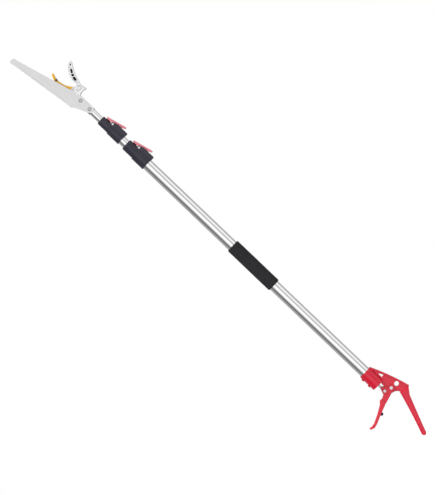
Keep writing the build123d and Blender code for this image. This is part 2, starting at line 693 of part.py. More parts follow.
with BuildPart() as top_rod_fork:
    with BuildSketch(Plane.XY.offset(FORK_BOTTOM)):
        RectangleRounded(FORK_WIDTH, FORK_DEPTH, FORK_ROUND)
    extrude(amount=FORK_FOOT + FORK_CROWN)
    with BuildSketch(Plane.XY.offset(FORK_PIN_AT - FORK_CROTCH)):
        Rectangle(FORK_WIDTH, TINE_GAP)
    extrude(amount=FORK_CROTCH + FORK_CROWN, mode=Mode.SUBTRACT)
    with BuildSketch(side_plane(0, FORK_PIN_AT)):
        Circle(FORK_PIN_D / 2 + RUN)
    extrude(amount=FORK_DEPTH, both=True, mode=Mode.SUBTRACT)
    with BuildSketch(Plane.XY.offset(TOP_ROD_TOP)):
        Circle(FORK_SHANK_D / 2)
    extrude(amount=FORK_BOTTOM - TOP_ROD_TOP)
    with BuildSketch(Plane.XY.offset(TOP_ROD_TOP)):
        Circle(top_rod_bore / 2 - RUN)
    extrude(amount=-COLLET_LENGTH)
save(top_rod_fork.part, "top_rod_fork")

with BuildPart() as fork_pin:
    with BuildSketch(side_plane(0, FORK_PIN_AT)):
        Circle(FORK_PIN_D / 2)
    extrude(amount=FORK_DEPTH / 2, both=True)
save(fork_pin.part, "fork_pin")


# Locks: a housing on the outer tube, and a sprung lever whose pad bears on the inner tube

def lock(label, outer_od, inner_od, step):
    """One tube lock, its parts labelled with the tube joint it serves."""
    pin_x = inner_od / 2 + LOCK_PIN_OUT
    pin_z = step + LOCK_PIN_RISE
    pin_plane = side_plane(pin_x, pin_z)
    bottom = step - LOCK_SKIRT
    drop = bottom - pin_z
    slot = LEVER_WIDTH + 2 * AIR
    ear_width = slot + 2 * EAR_WALL
    skirt_r = outer_od / 2 + FIT + LOCK_SKIRT_WALL
    collar_r = inner_od / 2 + LOCK_COLLAR_WALL
    edge = Vector(*LEVER_TAIL_OUT) - Vector(*LEVER_NOSE_TOP)
    inward = Vector(edge.Y, -edge.X, 0).normalized() * LEVER_SHEET

    with BuildPart() as housing:
        with BuildSketch(Plane.XY.offset(bottom)):
            Circle(skirt_r)
        extrude(amount=LOCK_SKIRT)
        with BuildSketch(pin_plane):
            with BuildLine():
                Polyline(
                    (-pin_x, drop),
                    (EAR_REACH, drop),
                    (EAR_REACH, -EAR_DROP),
                    (LEVER_HUB_R, EAR_RISE),
                    (-pin_x, EAR_RISE),
                    close=True,
                )
            ear = make_face()
            fillet(ear.vertices().sort_by(Axis.X)[-3:], radius=LOCK_ROUND)
        extrude(amount=ear_width / 2, both=True)
        with BuildSketch(Plane.XY.offset(step)):
            Circle(collar_r)
        extrude(amount=LOCK_COLLAR)
        chamfer(housing.faces().sort_by(Axis.Z)[-1].edges(), length=LOCK_ROUND)
        with BuildSketch(Plane.XY.offset(bottom)):
            Circle(outer_od / 2 + FIT)
        extrude(amount=LOCK_SKIRT, mode=Mode.SUBTRACT)
        with BuildSketch(Plane.XY.offset(step)):
            Circle(inner_od / 2 + AIR)
        extrude(amount=LOCK_COLLAR, mode=Mode.SUBTRACT)
        with BuildSketch(pin_plane):
            with BuildLine():
                Polyline(
                    (-SLOT_DEPTH, drop + EAR_FLOOR),
                    (EAR_REACH * 2, drop + EAR_FLOOR),
                    (EAR_REACH * 2, EAR_RISE * 2),
                    (-SLOT_DEPTH, EAR_RISE * 2),
                    close=True,
                )
            make_face()
            Circle(LEVER_HUB_R + AIR)
        extrude(amount=slot / 2, both=True, mode=Mode.SUBTRACT)
        with BuildSketch(pin_plane):
            with Locations((0, PAD_FOOT + PAD_HEIGHT / 2)):
                Rectangle(2 * LOCK_PIN_OUT, PAD_HEIGHT + 4 * AIR)
        extrude(amount=PAD_WIDTH / 2 + AIR, both=True, mode=Mode.SUBTRACT)
        with BuildSketch(pin_plane):
            Circle(LOCK_PIN_D / 2 + RUN)
        extrude(amount=ear_width, both=True, mode=Mode.SUBTRACT)
    save(housing.part, f"{label}_lock_housing")

    with BuildPart() as lever:
        with BuildSketch(pin_plane):
            with BuildLine():
                Polyline(
                    LEVER_NOSE_FOOT,
                    LEVER_NOSE_TOP,
                    LEVER_TAIL_OUT,
                    LEVER_TAIL_IN,
                    (LEVER_NOSE_FOOT[0], -LEVER_HUB_R),
                    close=True,
                )
            profile = make_face()
            corners = profile.vertices().sort_by(Axis.Y)
            fillet(corners[:2] + corners[-2:], radius=LEVER_END_ROUND)
            Circle(LEVER_HUB_R)
        extrude(amount=LEVER_WIDTH / 2, both=True)
        with BuildSketch(pin_plane):
            with BuildLine():
                top = Vector(*LEVER_NOSE_TOP) + inward
                foot = Vector(*LEVER_TAIL_OUT) + inward
                far = Vector(2 * LEVER_WIDTH, 0, 0)
                Polyline(top, foot + edge, foot + edge - far, top - far, close=True)
            make_face()
            with Locations((0, LEVER_NOSE_TOP[1])):
                Rectangle(4 * LEVER_WIDTH, 2 * LEVER_SHEET, mode=Mode.SUBTRACT)
        extrude(amount=LEVER_WIDTH / 2 - LEVER_SHEET, both=True, mode=Mode.SUBTRACT)
        with BuildSketch(pin_plane):
            Circle(LOCK_PIN_D / 2 + RUN)
        extrude(amount=LEVER_WIDTH, both=True, mode=Mode.SUBTRACT)
    save(lever.part, f"{label}_lock_lever")

    with BuildPart() as pad:
        with BuildSketch(pin_plane):
            with BuildLine():
                slope = edge.X / edge.Y
                low = top.X + (PAD_FOOT - top.Y) * slope
                high = top.X + (PAD_FOOT + PAD_HEIGHT - top.Y) * slope
                Polyline(
                    (-LOCK_PIN_OUT, PAD_FOOT),
                    (low, PAD_FOOT),
                    (high, PAD_FOOT + PAD_HEIGHT),
                    (-LOCK_PIN_OUT, PAD_FOOT + PAD_HEIGHT),
                    close=True,
                )
            make_face()
        extrude(amount=PAD_WIDTH / 2, both=True)
        with BuildSketch(Plane.XY.offset(step)):
            Circle(inner_od / 2 + PAD_GAP)
        extrude(amount=LOCK_COLLAR, mode=Mode.SUBTRACT)
    save(pad.part, f"{label}_brake_pad")

    pin = headed_pin(pin_plane, LOCK_PIN_D, LOCK_PIN_HEAD_D, LOCK_PIN_HEAD, ear_width / 2)
    save(pin, f"{label}_lock_pin")

    seat = Plane(origin=(pin_x - SLOT_DEPTH, 0, pin_z - LOCK_SPRING_DROP), x_dir=(0, 1, 0), z_dir=(1, 0, 0))
    spring = coil_spring(seat, LOCK_SPRING_D, LOCK_SPRING_WIRE, LOCK_SPRING_LENGTH, LOCK_SPRING_TURNS)
    save(spring, f"{label}_lock_spring")


lock("lower", BASE_OD, MID_OD, LOWER_STEP)
lock("upper", MID_OD, TOP_OD, UPPER_STEP)


# Neck and head

with BuildPart() as neck_ferrule:
    with BuildSketch(Plane.XY.offset(NECK_BOTTOM)):
        Circle(NECK_OD / 2)
    extrude(amount=NECK_LENGTH)
    with BuildSketch(Plane.XY.offset(NECK_BOTTOM)):
        with Locations((0, -NECK_PAD_Y / 2)):
            Rectangle(NECK_PAD_WIDTH, NECK_PAD_Y)
    extrude(amount=NECK_LENGTH)
    chamfer(neck_ferrule.faces().sort_by(Axis.Z)[0].edges(), length=NECK_ROUND)
    with BuildSketch(Plane.XY.offset(NECK_BOTTOM)):
        Circle(TOP_OD / 2 + FIT)
    extrude(amount=NECK_LENGTH, mode=Mode.SUBTRACT)
    for height in SAW_SCREW_HEIGHTS:
        with BuildSketch(side_plane(0, height)):
            Circle(SAW_SCREW_D / 2 + FIT)
        extrude(amount=NECK_OD, mode=Mode.SUBTRACT)
save(neck_ferrule.part, "neck_ferrule")

pocket_floor = FORK_BOTTOM - ROD_STROKE - 2 * AIR

with BuildPart() as head_casting:
    with BuildSketch(HEAD):
        with BuildLine():
            Polyline(HEAD_RIGHT_FOOT, HEAD_LEFT_FOOT, HEAD_LEFT_TOP, HEAD_LEFT_CORNER, HEAD_RIGHT_CORNER)
            ThreePointArc(HEAD_RIGHT_CORNER, BROW_MID, BROW_END)
            Polyline(BROW_END, SPUR_BACK, SPUR_TIP, SPUR_TOE)
            ThreePointArc(SPUR_TOE, SPUR_ARCH, HEAD_RIGHT_FOOT)
        make_face()
    extrude(amount=HEAD_THICKNESS / 2, both=True)
    chamfer(head_casting.faces().filter_by(Axis.Y).edges(), length=HEAD_ROUND)
    with BuildSketch(HEAD):
        with BuildLine():
            Polyline(*HEAD_WINDOW, close=True)
        opening = make_face()
        fillet(opening.vertices(), radius=HEAD_WINDOW_ROUND)
    extrude(amount=HEAD_THICKNESS, both=True, mode=Mode.SUBTRACT)
    with BuildSketch(HEAD):
        with Locations(PIVOT):
            Circle(HUB_ROOM_R)
        with BuildLine():
            Polyline(
                (2 * HEAD_LEFT_FOOT[0], SLOT_FLOOR),
                (PIVOT[0] - HUB_ROOM_R / 2, SLOT_FLOOR),
                (PIVOT[0], PIVOT[1]),
                (PIVOT[0] + HUB_ROOM_R, BRIDGE_TOP),
                (2 * HEAD_LEFT_FOOT[0], BRIDGE_TOP),
                close=True,
            )
        make_face()
    extrude(amount=HEAD_GAP / 2, both=True, mode=Mode.SUBTRACT)
    with BuildSketch(HEAD):
        with Locations(((HEAD_LEFT_CORNER[0] + HEAD_RIGHT_CORNER[0]) / 2, BRIDGE_BOTTOM + BRIDGE_HEIGHT / 2)):
            Rectangle(HEAD_RIGHT_CORNER[0] - HEAD_LEFT_CORNER[0], BRIDGE_HEIGHT)
    extrude(amount=HEAD_THICKNESS / 2, both=True)
    with BuildSketch(HEAD):
        with Locations((SPINE_AT, BRIDGE_TOP + SPINE_HEIGHT / 2)):
            Rectangle(SPINE_WIDTH, SPINE_HEIGHT)
    extrude(amount=SPINE_THICKNESS / 2, both=True)
    with BuildSketch(Plane.XY.offset(TOP_TOP)):
        Circle(TOP_OD / 2)
    extrude(amount=NECK_TOP + SLOT_FLOOR - TOP_TOP)
    with BuildSketch(Plane.XY.offset(TOP_TOP)):
        Circle(TOP_ID / 2 - FIT)
    extrude(amount=-SPIGOT_LENGTH)
    with BuildSketch(Plane.XY.offset(TOP_TOP - SPIGOT_LENGTH)):
        Circle(FORK_SHANK_D / 2 + AIR)
    extrude(amount=SPIGOT_LENGTH + HEAD_SEAT, mode=Mode.SUBTRACT)
    with BuildSketch(Plane.XY.offset(pocket_floor)):
        Rectangle(FORK_WIDTH + 2 * AIR, FORK_DEPTH + 2 * AIR)
    extrude(amount=NECK_TOP + SLOT_FLOOR - pocket_floor, mode=Mode.SUBTRACT)
    with BuildSketch(HEAD):
        with Locations(PIVOT):
            Circle(PIVOT_BOLT_D / 2 + RUN)
        with Locations(JAW_SCREW_FOOT):
            Circle(JAW_SCREW_D / 2 + FIT)
    extrude(amount=HEAD_THICKNESS, both=True, mode=Mode.SUBTRACT)
    with BuildSketch(side_plane(0, SAW_SCREW_TOP)):
        Circle(SAW_SCREW_D / 2 + FIT)
    extrude(amount=NECK_OD, mode=Mode.SUBTRACT)
save(head_casting.part, "head_casting")

jaw_pivot = side_plane(PIVOT[0], NECK_TOP + PIVOT[1])

with BuildPart() as jaw_pivot_bolt:
    with BuildSketch(jaw_pivot.offset(-HEAD_THICKNESS / 2 - PIVOT_NUT)):
        Circle(PIVOT_BOLT_D / 2)
    extrude(amount=HEAD_THICKNESS + PIVOT_NUT)
    with BuildSketch(jaw_pivot.offset(HEAD_THICKNESS / 2)):
        Circle(PIVOT_HEAD_D / 2)
    extrude(amount=PIVOT_HEAD)
    chamfer(jaw_pivot_bolt.faces().sort_by(Axis.Y)[0].edges(), length=PIVOT_HEAD / 3)
    with BuildSketch(jaw_pivot.offset(HEAD_THICKNESS / 2 + PIVOT_HEAD)):
        Circle(PIVOT_CROWN_D / 2)
    extrude(amount=PIVOT_CROWN)
save(jaw_pivot_bolt.part, "jaw_pivot_bolt")

with BuildPart() as jaw_pivot_nut:
    with BuildSketch(jaw_pivot.offset(-HEAD_THICKNESS / 2 - PIVOT_NUT)):
        RegularPolygon(PIVOT_NUT_ACROSS / 2, 6, major_radius=False)
        Circle(PIVOT_BOLT_D / 2 + RUN, mode=Mode.SUBTRACT)
    extrude(amount=PIVOT_NUT)
save(jaw_pivot_nut.part, "jaw_pivot_nut")


# Jaws

def contact_band(centre, inner_r, outer_r, heel, toe):
    """A sketch face along the jaws' contact arc, between two radii and two angles."""
    with BuildSketch() as band:
        with BuildLine():
            CenterArc(centre, inner_r, heel, toe - heel)
            Line(on_circle(centre, inner_r, toe), on_circle(centre, outer_r, toe))
            CenterArc(centre, outer_r, toe, heel - toe)
            Line(on_circle(centre, outer_r, heel), on_circle(centre, inner_r, heel))
        make_face()
    return band.sketch


fixed_toe = on_circle(CONTACT_CENTRE, FIXED_R, FIXED_TOE)
fixed_tip = on_circle(CONTACT_CENTRE, FIXED_R + FIXED_TIP_WIDTH, FIXED_TOE)
jaw_screw_head = on_circle(CONTACT_CENTRE, FIXED_R + JAW_SCREW_BACK, CONTACT_TOE + JAW_SCREW_LEAD)
jaw_screw_spots = [jaw_screw_head, JAW_SCREW_FOOT]
fixed_drop = CONTACT_CENTRE[1] - BRIDGE_TOP
fixed_heel = (CONTACT_CENTRE[0] - (FIXED_R**2 - fixed_drop**2) ** 0.5, BRIDGE_TOP)
fixed_left = (HEAD_LEFT_CORNER[0], BRIDGE_TOP)

with BuildPart() as fixed_jaw:
    with BuildSketch(HEAD):
        with BuildLine():
            Line(fixed_heel, fixed_left)
            ThreePointArc(fixed_left, FIXED_OUTER_MID, fixed_tip)
            Line(fixed_tip, fixed_toe)
            RadiusArc(fixed_toe, fixed_heel, -FIXED_R)
        finger = make_face()
        fillet(finger.vertices().sort_by(Axis.Y)[-2:], radius=FIXED_TIP_ROUND)
    extrude(amount=FIXED_JAW_THICKNESS / 2, both=True)
    outer_edges = fixed_jaw.faces().filter_by(Axis.Y).edges().sort_by(Axis.X)[:2]
    chamfer(outer_edges, length=FIXED_JAW_ROUND)
    with BuildSketch(HEAD):
        add(contact_band(CONTACT_CENTRE, CONTACT_R, FIXED_R + GROOVE_DEPTH, CONTACT_HEEL, CONTACT_TOE))
    extrude(amount=GROOVE_WIDTH / 2, both=True, mode=Mode.SUBTRACT)
    with BuildSketch(HEAD):
        with Locations((SPINE_AT, BRIDGE_TOP + SPINE_HEIGHT / 2)):
            Rectangle(SPINE_WIDTH + 2 * FIT, SPINE_HEIGHT + 2 * FIT)
    extrude(amount=SPINE_THICKNESS / 2 + FIT, both=True, mode=Mode.SUBTRACT)
    with BuildSketch(HEAD):
        with Locations(*jaw_screw_spots):
            Circle(JAW_SCREW_D / 2 + FIT)
    extrude(amount=FIXED_JAW_THICKNESS, both=True, mode=Mode.SUBTRACT)
save(fixed_jaw.part, "fixed_jaw")

with BuildPart() as counter_blade:
    with BuildSketch(HEAD.offset(BLADE_GAP / 2)):
        edge_r = FIXED_R - COUNTER_PROUD
        back_r = FIXED_R + GROOVE_DEPTH - FIT
        add(contact_band(CONTACT_CENTRE, edge_r, back_r, COUNTER_HEEL, COUNTER_TOE))
        with Locations(jaw_screw_head):
            Circle(JAW_SCREW_D / 2 + FIT, mode=Mode.SUBTRACT)
    extrude(amount=BLADE_SHEET)
save(counter_blade.part, "counter_blade")

with BuildPart() as fixed_jaw_screws:
    with BuildSketch(HEAD.offset(-FIXED_JAW_THICKNESS / 2)):
        with Locations(*jaw_screw_spots):
            Circle(JAW_SCREW_D / 2)
    extrude(amount=FIXED_JAW_THICKNESS)
    with BuildSketch(HEAD.offset(FIXED_JAW_THICKNESS / 2)):
        with Locations(*jaw_screw_spots):
            Circle(JAW_SCREW_HEAD_D / 2)
    extrude(amount=JAW_SCREW_HEAD)
    chamfer(fixed_jaw_screws.faces().sort_by(Axis.Y)[:2].edges(), length=JAW_SCREW_HEAD / 3)
save(fixed_jaw_screws.part, "fixed_jaw_screws")

jaw_centre = from_pivot(CONTACT_CENTRE)
jaw_heel = on_circle(jaw_centre, BELLY_R, CONTACT_HEEL)
jaw_toe = on_circle(jaw_centre, BELLY_R, CONTACT_TOE)
rivet_r = BELLY_R - BLADE_RIVET_DEPTH
blade_rivet_spots = [
    on_circle(jaw_centre, rivet_r, CONTACT_TOE + BLADE_RIVET_TOE),
    on_circle(jaw_centre, rivet_r, CONTACT_HEEL - BLADE_RIVET_HEEL),
]
jaw_tip_back = from_pivot(JAW_TIP_BACK)
jaw_back_foot = from_pivot(JAW_BACK_FOOT)
hub_thickness = HEAD_GAP - 2 * AIR
tail_near = PIVOT[0]
tail_far = PIVOT[0] / cos(radians(TAIL_ANGLE))
tail_slot = FORK_PIN_D + 2 * PIN_SLOT_PLAY


def jaw_outline():
    """The moving jaw's outline, from its tip down to the pivot."""
    with BuildSketch() as outline:
        with BuildLine():
            Polyline(jaw_heel, from_pivot(JAW_HEEL_NECK), (0, 0), jaw_back_foot)
            ThreePointArc(jaw_back_foot, from_pivot(JAW_BACK_MID), jaw_tip_back)
            Polyline(jaw_tip_back, from_pivot(JAW_TIP), jaw_toe)
            CenterArc(jaw_centre, BELLY_R, CONTACT_TOE, CONTACT_HEEL - CONTACT_TOE)
        make_face()
    return outline.sketch


def cutting_outline(grow, proud):
    """The cutting blade's outline, grown at its back and standing proud of the jaw's belly."""
    middle = (CONTACT_HEEL + CONTACT_TOE) / 2
    heel_in = on_circle(jaw_centre, BELLY_R - CUTTING_HEEL - grow, CUTTING_TANG)
    mid_in = on_circle(jaw_centre, BELLY_R - CUTTING_MID - grow, middle)
    toe_in = on_circle(jaw_centre, BELLY_R - CUTTING_TOE - grow, COUNTER_TOE)
    heel_out = on_circle(jaw_centre, BELLY_R + proud, COUNTER_HEEL)
    tang_out = on_circle(jaw_centre, BELLY_R - CUTTING_TANG_SET, CUTTING_TANG)
    toe_out = on_circle(jaw_centre, BELLY_R + proud, COUNTER_TOE)
    with BuildSketch() as outline:
        with BuildLine():
            CenterArc(jaw_centre, BELLY_R + proud, COUNTER_HEEL, COUNTER_TOE - COUNTER_HEEL)
            Line(toe_out, toe_in)
            ThreePointArc(toe_in, mid_in, heel_in)
            Polyline(heel_in, tang_out, heel_out)
        make_face()
    return outline.sketch


with BuildPart() as moving_jaw:
    with BuildSketch(JAW):
        add(jaw_outline())
        Circle(JAW_THICK_R, mode=Mode.SUBTRACT)
    extrude(amount=MOVING_JAW_THICKNESS / 2, both=True)
    back_edges = moving_jaw.faces().filter_by(Axis.Y).edges().filter_by(GeomType.CIRCLE).sort_by(Axis.X)[-2:]
    chamfer(back_edges, length=JAW_ROUND)
    with BuildSketch(JAW):
        add(jaw_outline())
        Circle(JAW_HUB_R)
    extrude(amount=hub_thickness / 2, both=True)
    with BuildSketch(JAW):
        with Locations(on_circle((0, 0), tail_far / 2, 180 + TAIL_ANGLE)):
            SlotCenterToCenter(tail_far, tail_slot + 2 * TAIL_WALL, rotation=TAIL_ANGLE)
    extrude(amount=TAIL_THICKNESS / 2, both=True)
    with BuildSketch(JAW):
        Circle(PIVOT_BOLT_D / 2 + RUN)
        with Locations(on_circle((0, 0), (tail_near + tail_far) / 2, 180 + TAIL_ANGLE)):
            SlotCenterToCenter(tail_far - tail_near, tail_slot, rotation=TAIL_ANGLE)
        with Locations(*blade_rivet_spots):
            Circle(BLADE_RIVET_D / 2 + RUN)
    extrude(amount=MOVING_JAW_THICKNESS, both=True, mode=Mode.SUBTRACT)
    for pocket in POCKETS:
        with BuildSketch(JAW.offset(POCKET_WEB / 2), JAW.offset(-POCKET_WEB / 2 - MOVING_JAW_THICKNESS)):
            with BuildLine():
                Polyline(*[from_pivot(spot) for spot in pocket], close=True)
            recess = make_face()
            fillet(recess.vertices(), radius=POCKET_ROUND)
        extrude(amount=MOVING_JAW_THICKNESS, mode=Mode.SUBTRACT)
    with BuildSketch(JAW):
        add(contact_band(jaw_centre, BELLY_R - COUNTER_PROUD, CONTACT_R, CONTACT_HEEL, CONTACT_TOE))
    extrude(amount=GROOVE_WIDTH / 2, both=True, mode=Mode.SUBTRACT)
    with BuildSketch(JAW.offset(-BLADE_GAP / 2 - BLADE_SHEET - FIT)):
        add(cutting_outline(FIT, JAW_GAP))
    extrude(amount=BLADE_SHEET + 2 * FIT, mode=Mode.SUBTRACT)
save(moving_jaw.part, "moving_jaw")

with BuildPart() as cutting_blade:
    with BuildSketch(JAW.offset(-BLADE_GAP / 2 - BLADE_SHEET)):
        add(cutting_outline(0, CUTTING_PROUD))
        with Locations(*blade_rivet_spots):
            Circle(BLADE_RIVET_D / 2 + RUN, mode=Mode.SUBTRACT)
    extrude(amount=BLADE_SHEET)
save(cutting_blade.part, "cutting_blade")

with BuildPart() as blade_rivets:
    with BuildSketch(JAW):
        with Locations(*blade_rivet_spots):
            Circle(BLADE_RIVET_D / 2)
    extrude(amount=MOVING_JAW_THICKNESS / 2 + BLADE_RIVET_PROUD, both=True)
save(blade_rivets.part, "blade_rivets")


# Saw blade with two teeth to each pitch, its screws and their washers

SAW = side_plane(0, SAW_SCREW_TOP).offset(NECK_PAD_Y)
saw_front = SAW.offset(SAW_THICKNESS)
screw_spots = [(0, 0), (0, -SAW_SCREW_SPACING)]
tooth_line = Vector(*TOOTH_TOE) - Vector(*TOOTH_HEEL)
tooth_pitch = tooth_line / TOOTH_PITCHES
into_blade = Vector(tooth_line.Y, -tooth_line.X, 0).normalized()
teeth = []
for pitch in range(TOOTH_PITCHES):
    start = Vector(*TOOTH_HEEL) + tooth_pitch * pitch
    teeth.append(start)
    teeth.append(start + tooth_pitch * 0.25 + into_blade * GULLET_DEPTH)
    teeth.append(start + tooth_pitch * 0.5)
    teeth.append(start + tooth_pitch * 0.75 + into_blade * NOTCH_DEPTH)
teeth.append(Vector(*TOOTH_TOE))

with BuildPart() as saw_blade:
    with BuildSketch(SAW):
        with BuildLine():
            Polyline(SAW_NOSE_TOP, *teeth)
            Polyline(TOOTH_TOE, SAW_TIP_CORNER)
            ThreePointArc(SAW_TIP_CORNER, SAW_TIP_TOP, SAW_BACK_TOP)
            Polyline(SAW_BACK_TOP, SAW_BACK_FOOT, SAW_END_RIGHT)
            ThreePointArc(SAW_END_RIGHT, SAW_END_FOOT, SAW_END_LEFT)
            Line(SAW_END_LEFT, SAW_HEEL)
            ThreePointArc(SAW_HEEL, SAW_NOSE, SAW_NOSE_TOP)
        make_face()
        with Locations(*screw_spots):
            Circle(SAW_SCREW_D / 2 + FIT, mode=Mode.SUBTRACT)
    extrude(amount=SAW_THICKNESS)
save(saw_blade.part, "saw_blade")

with BuildPart() as saw_washers:
    with BuildSketch(saw_front):
        with Locations(*screw_spots):
            Circle(SAW_WASHER_D / 2)
            Circle(SAW_SCREW_D / 2 + FIT, mode=Mode.SUBTRACT)
    extrude(amount=SAW_WASHER)
save(saw_washers.part, "saw_washers")

with BuildPart() as saw_screws:
    with BuildSketch(SAW.offset(-SAW_SCREW_DEPTH)):
        with Locations(*screw_spots):
            Circle(SAW_SCREW_D / 2)
    extrude(amount=SAW_SCREW_DEPTH + SAW_THICKNESS + SAW_WASHER)
    with BuildSketch(saw_front.offset(SAW_WASHER)):
        with Locations(*screw_spots):
            Circle(SAW_SCREW_HEAD_D / 2)
    extrude(amount=SAW_SCREW_HEAD)
    chamfer(saw_screws.faces().sort_by(Axis.Y)[:2].edges(), length=SAW_SCREW_HEAD / 3)
    with BuildSketch(saw_front.offset(SAW_WASHER + SAW_SCREW_HEAD)):
        with Locations(*screw_spots):
            Rectangle(SAW_RECESS_ARM, SAW_RECESS_WIDTH)
            Rectangle(SAW_RECESS_WIDTH, SAW_RECESS_ARM)
    extrude(amount=-SAW_RECESS, mode=Mode.SUBTRACT)
save(saw_screws.part, "saw_screws")
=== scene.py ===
import math

import bpy
import numpy as np
from bpy.props import FloatProperty, FloatVectorProperty, IntProperty, PointerProperty
from mathutils import Matrix, Vector


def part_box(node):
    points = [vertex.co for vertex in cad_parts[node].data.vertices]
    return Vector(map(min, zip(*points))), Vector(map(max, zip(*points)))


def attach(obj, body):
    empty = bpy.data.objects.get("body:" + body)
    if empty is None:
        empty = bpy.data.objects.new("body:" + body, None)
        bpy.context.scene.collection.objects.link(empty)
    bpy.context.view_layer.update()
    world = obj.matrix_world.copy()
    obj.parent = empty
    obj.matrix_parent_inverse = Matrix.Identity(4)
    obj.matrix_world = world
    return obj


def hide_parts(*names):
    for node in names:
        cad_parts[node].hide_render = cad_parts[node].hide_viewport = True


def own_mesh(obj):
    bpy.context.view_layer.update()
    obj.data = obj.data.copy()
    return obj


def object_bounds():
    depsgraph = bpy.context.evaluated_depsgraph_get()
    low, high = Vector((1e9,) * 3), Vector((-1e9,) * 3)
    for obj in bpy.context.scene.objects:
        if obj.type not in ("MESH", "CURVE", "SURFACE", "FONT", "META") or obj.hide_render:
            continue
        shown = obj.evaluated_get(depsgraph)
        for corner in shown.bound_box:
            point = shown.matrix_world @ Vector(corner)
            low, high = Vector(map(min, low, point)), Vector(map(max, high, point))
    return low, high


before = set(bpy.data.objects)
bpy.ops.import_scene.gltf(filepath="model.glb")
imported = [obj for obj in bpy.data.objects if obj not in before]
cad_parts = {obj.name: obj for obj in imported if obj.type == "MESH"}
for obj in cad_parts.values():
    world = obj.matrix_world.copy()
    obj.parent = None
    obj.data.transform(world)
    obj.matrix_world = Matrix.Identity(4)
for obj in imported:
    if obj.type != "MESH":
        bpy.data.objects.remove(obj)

bl_info = {
    "name": "Telescoping Pole Saw",
    "version": (1, 0, 0),
    "blender": (4, 5, 0),
    "location": "3D View > Sidebar > Pole Saw",
    "description": "Gives the packed pole saw its finishes, foam grip, springs and studio",
    "category": "Object",
}

CAD_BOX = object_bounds()
GRIP_LOW, GRIP_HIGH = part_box("foam_grip")
RETURN_LOW, RETURN_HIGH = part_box("return_spring")
LOWER_LOW, LOWER_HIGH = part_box("lower_lock_spring")
UPPER_LOW, UPPER_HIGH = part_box("upper_lock_spring")
TUBE_LOW, TUBE_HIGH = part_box("base_tube")
FULL_TURN = 2.0 * math.pi
QUARTER_TURN = math.pi / 2
MM = 0.001

# Bare metals
ROD_METAL = (0.76, 0.76, 0.77, 1.0)
PLATED_STEEL = (0.62, 0.62, 0.63, 1.0)
HANDLE_STEEL = (0.66, 0.66, 0.67, 1.0)
BOLT_STEEL = (0.68, 0.68, 0.69, 1.0)
EDGE_STEEL = (0.74, 0.74, 0.75, 1.0)
SCREW_STEEL = (0.55, 0.55, 0.56, 1.0)
SPRING_STEEL = (0.58, 0.58, 0.59, 1.0)
WASHER_STEEL = (0.30, 0.30, 0.31, 1.0)
DARK_STEEL = (0.09, 0.09, 0.095, 1.0)
BARE_CASTING = (0.74, 0.74, 0.76, 1.0)

# Rims, smudges and rubbed places of the finishes, and where the jaw's pocket floors lie
# The casting rim is painted shade along the polished casting's edges; the casting smudge is handling wear
CASTING_SHADE_RIM, CASTING_SMUDGE = (0.13, 0.13, 0.145, 1.0), (0.30, 0.30, 0.32, 1.0)
# The red rim is painted shade along the red casting's edges; the red dirt is faint smudges
RED_SHADE_RIM, RED_DIRT = (0.22, 0.003, 0.012, 1.0), (0.16, 0.004, 0.01, 1.0)
# The lever rim is painted shade along the levers' edges; the lever dirt is faint smudges
LEVER_SHADE_RIM, LEVER_DIRT = (0.62, 0.03, 0.06, 1.0), (0.45, 0.05, 0.08, 1.0)
YELLOW_RIM, YELLOW_DIRT = (1.0, 0.68, 0.18, 1.0), (0.45, 0.20, 0.01, 1.0)
NECK_RIM, NECK_DIRT = (0.25, 0.25, 0.27, 1.0), (0.03, 0.03, 0.035, 1.0)
BUMPER_BLACK = (0.014, 0.014, 0.014, 1.0)
BRAKE_BLACK = (0.016, 0.016, 0.016, 1.0)
RUBBED_RUBBER = (0.05, 0.05, 0.05, 1.0)
RUBBED_GUIDE = (0.06, 0.06, 0.07, 1.0)
RUBBED_LOCK = (0.07, 0.07, 0.085, 1.0)
FOAM_DUST = (0.05, 0.05, 0.052, 1.0)
# Painted shade on the ground facets of the saw's teeth
TOOTH_SHADE = (0.06, 0.06, 0.065, 1.0)
# Painted shade on the jaw's pocket floors, standing for the shadow in its recesses
POCKET_SHADE = (0.012, 0.012, 0.013, 1.0)
POCKET_FLOOR = 2.75 * MM
POCKET_FACING = 0.9

# Reach of a casting's painted shade rim in edge radii, share of the tooth band that is fully ground, and
# how many times finer the fine noise of the wear is than the broad
CASTING_REACH = 3.2
GROUND_SHARE = 0.6
FINE_TIMES = 9.0

# Roughness of a finish, at the smoothest and the dullest of its grain
DRAWN_GLOSS = (0.10, 0.17)
POLISH_GLOSS = (0.10, 0.24)
BOLT_GLOSS = (0.16, 0.28)
PAINT_GLOSS = (0.18, 0.28)
WIRE_GLOSS = (0.18, 0.30)
SATIN_GLOSS = (0.20, 0.32)
PIN_GLOSS = (0.20, 0.34)
YELLOW_GLOSS = (0.22, 0.34)
PLATED_GLOSS = (0.22, 0.36)
SAW_GLOSS = (0.30, 0.42)
DULL_GLOSS = (0.30, 0.45)
MOULD_GLOSS = (0.34, 0.52)
RUBBER_GLOSS = (0.60, 0.80)
FOAM_GLOSS = (0.82, 0.97)
FLOOR_GLOSS = (0.85, 0.95)

# Directions of drawn or ground lines: the smaller a number, the longer the lines along that axis
ALONG_TUBE = (1.0, 1.0, 0.004)
ALONG_SAW = (1.0, 1.0, 0.03)
ALONG_POLE = (1.0, 1.0, 0.2)
ALONG_PIN = (1.0, 0.2, 1.0)
ALONG_X = (0.1, 1.0, 1.0)
ALL_ROUND = (1.0, 1.0, 1.0)

# Foam sleeve: slack of its bore on the tube, steps of its grid, and the waves of its skin, each as lobes
# round it, radians a metre along it, share and phase
BORE_SLACK = 0.2 * MM
END_STEPS, WALL_STEPS, BORE_STEPS, SLEEVE_SIDES = 9, 60, 24, 96
SKIN_WAVES = ((3, 55.0, 1.0, 0.0), (5, -90.0, 0.7, 1.3), (0, 130.0, 0.5, 0.0))
SKIN_SWING = 0.45

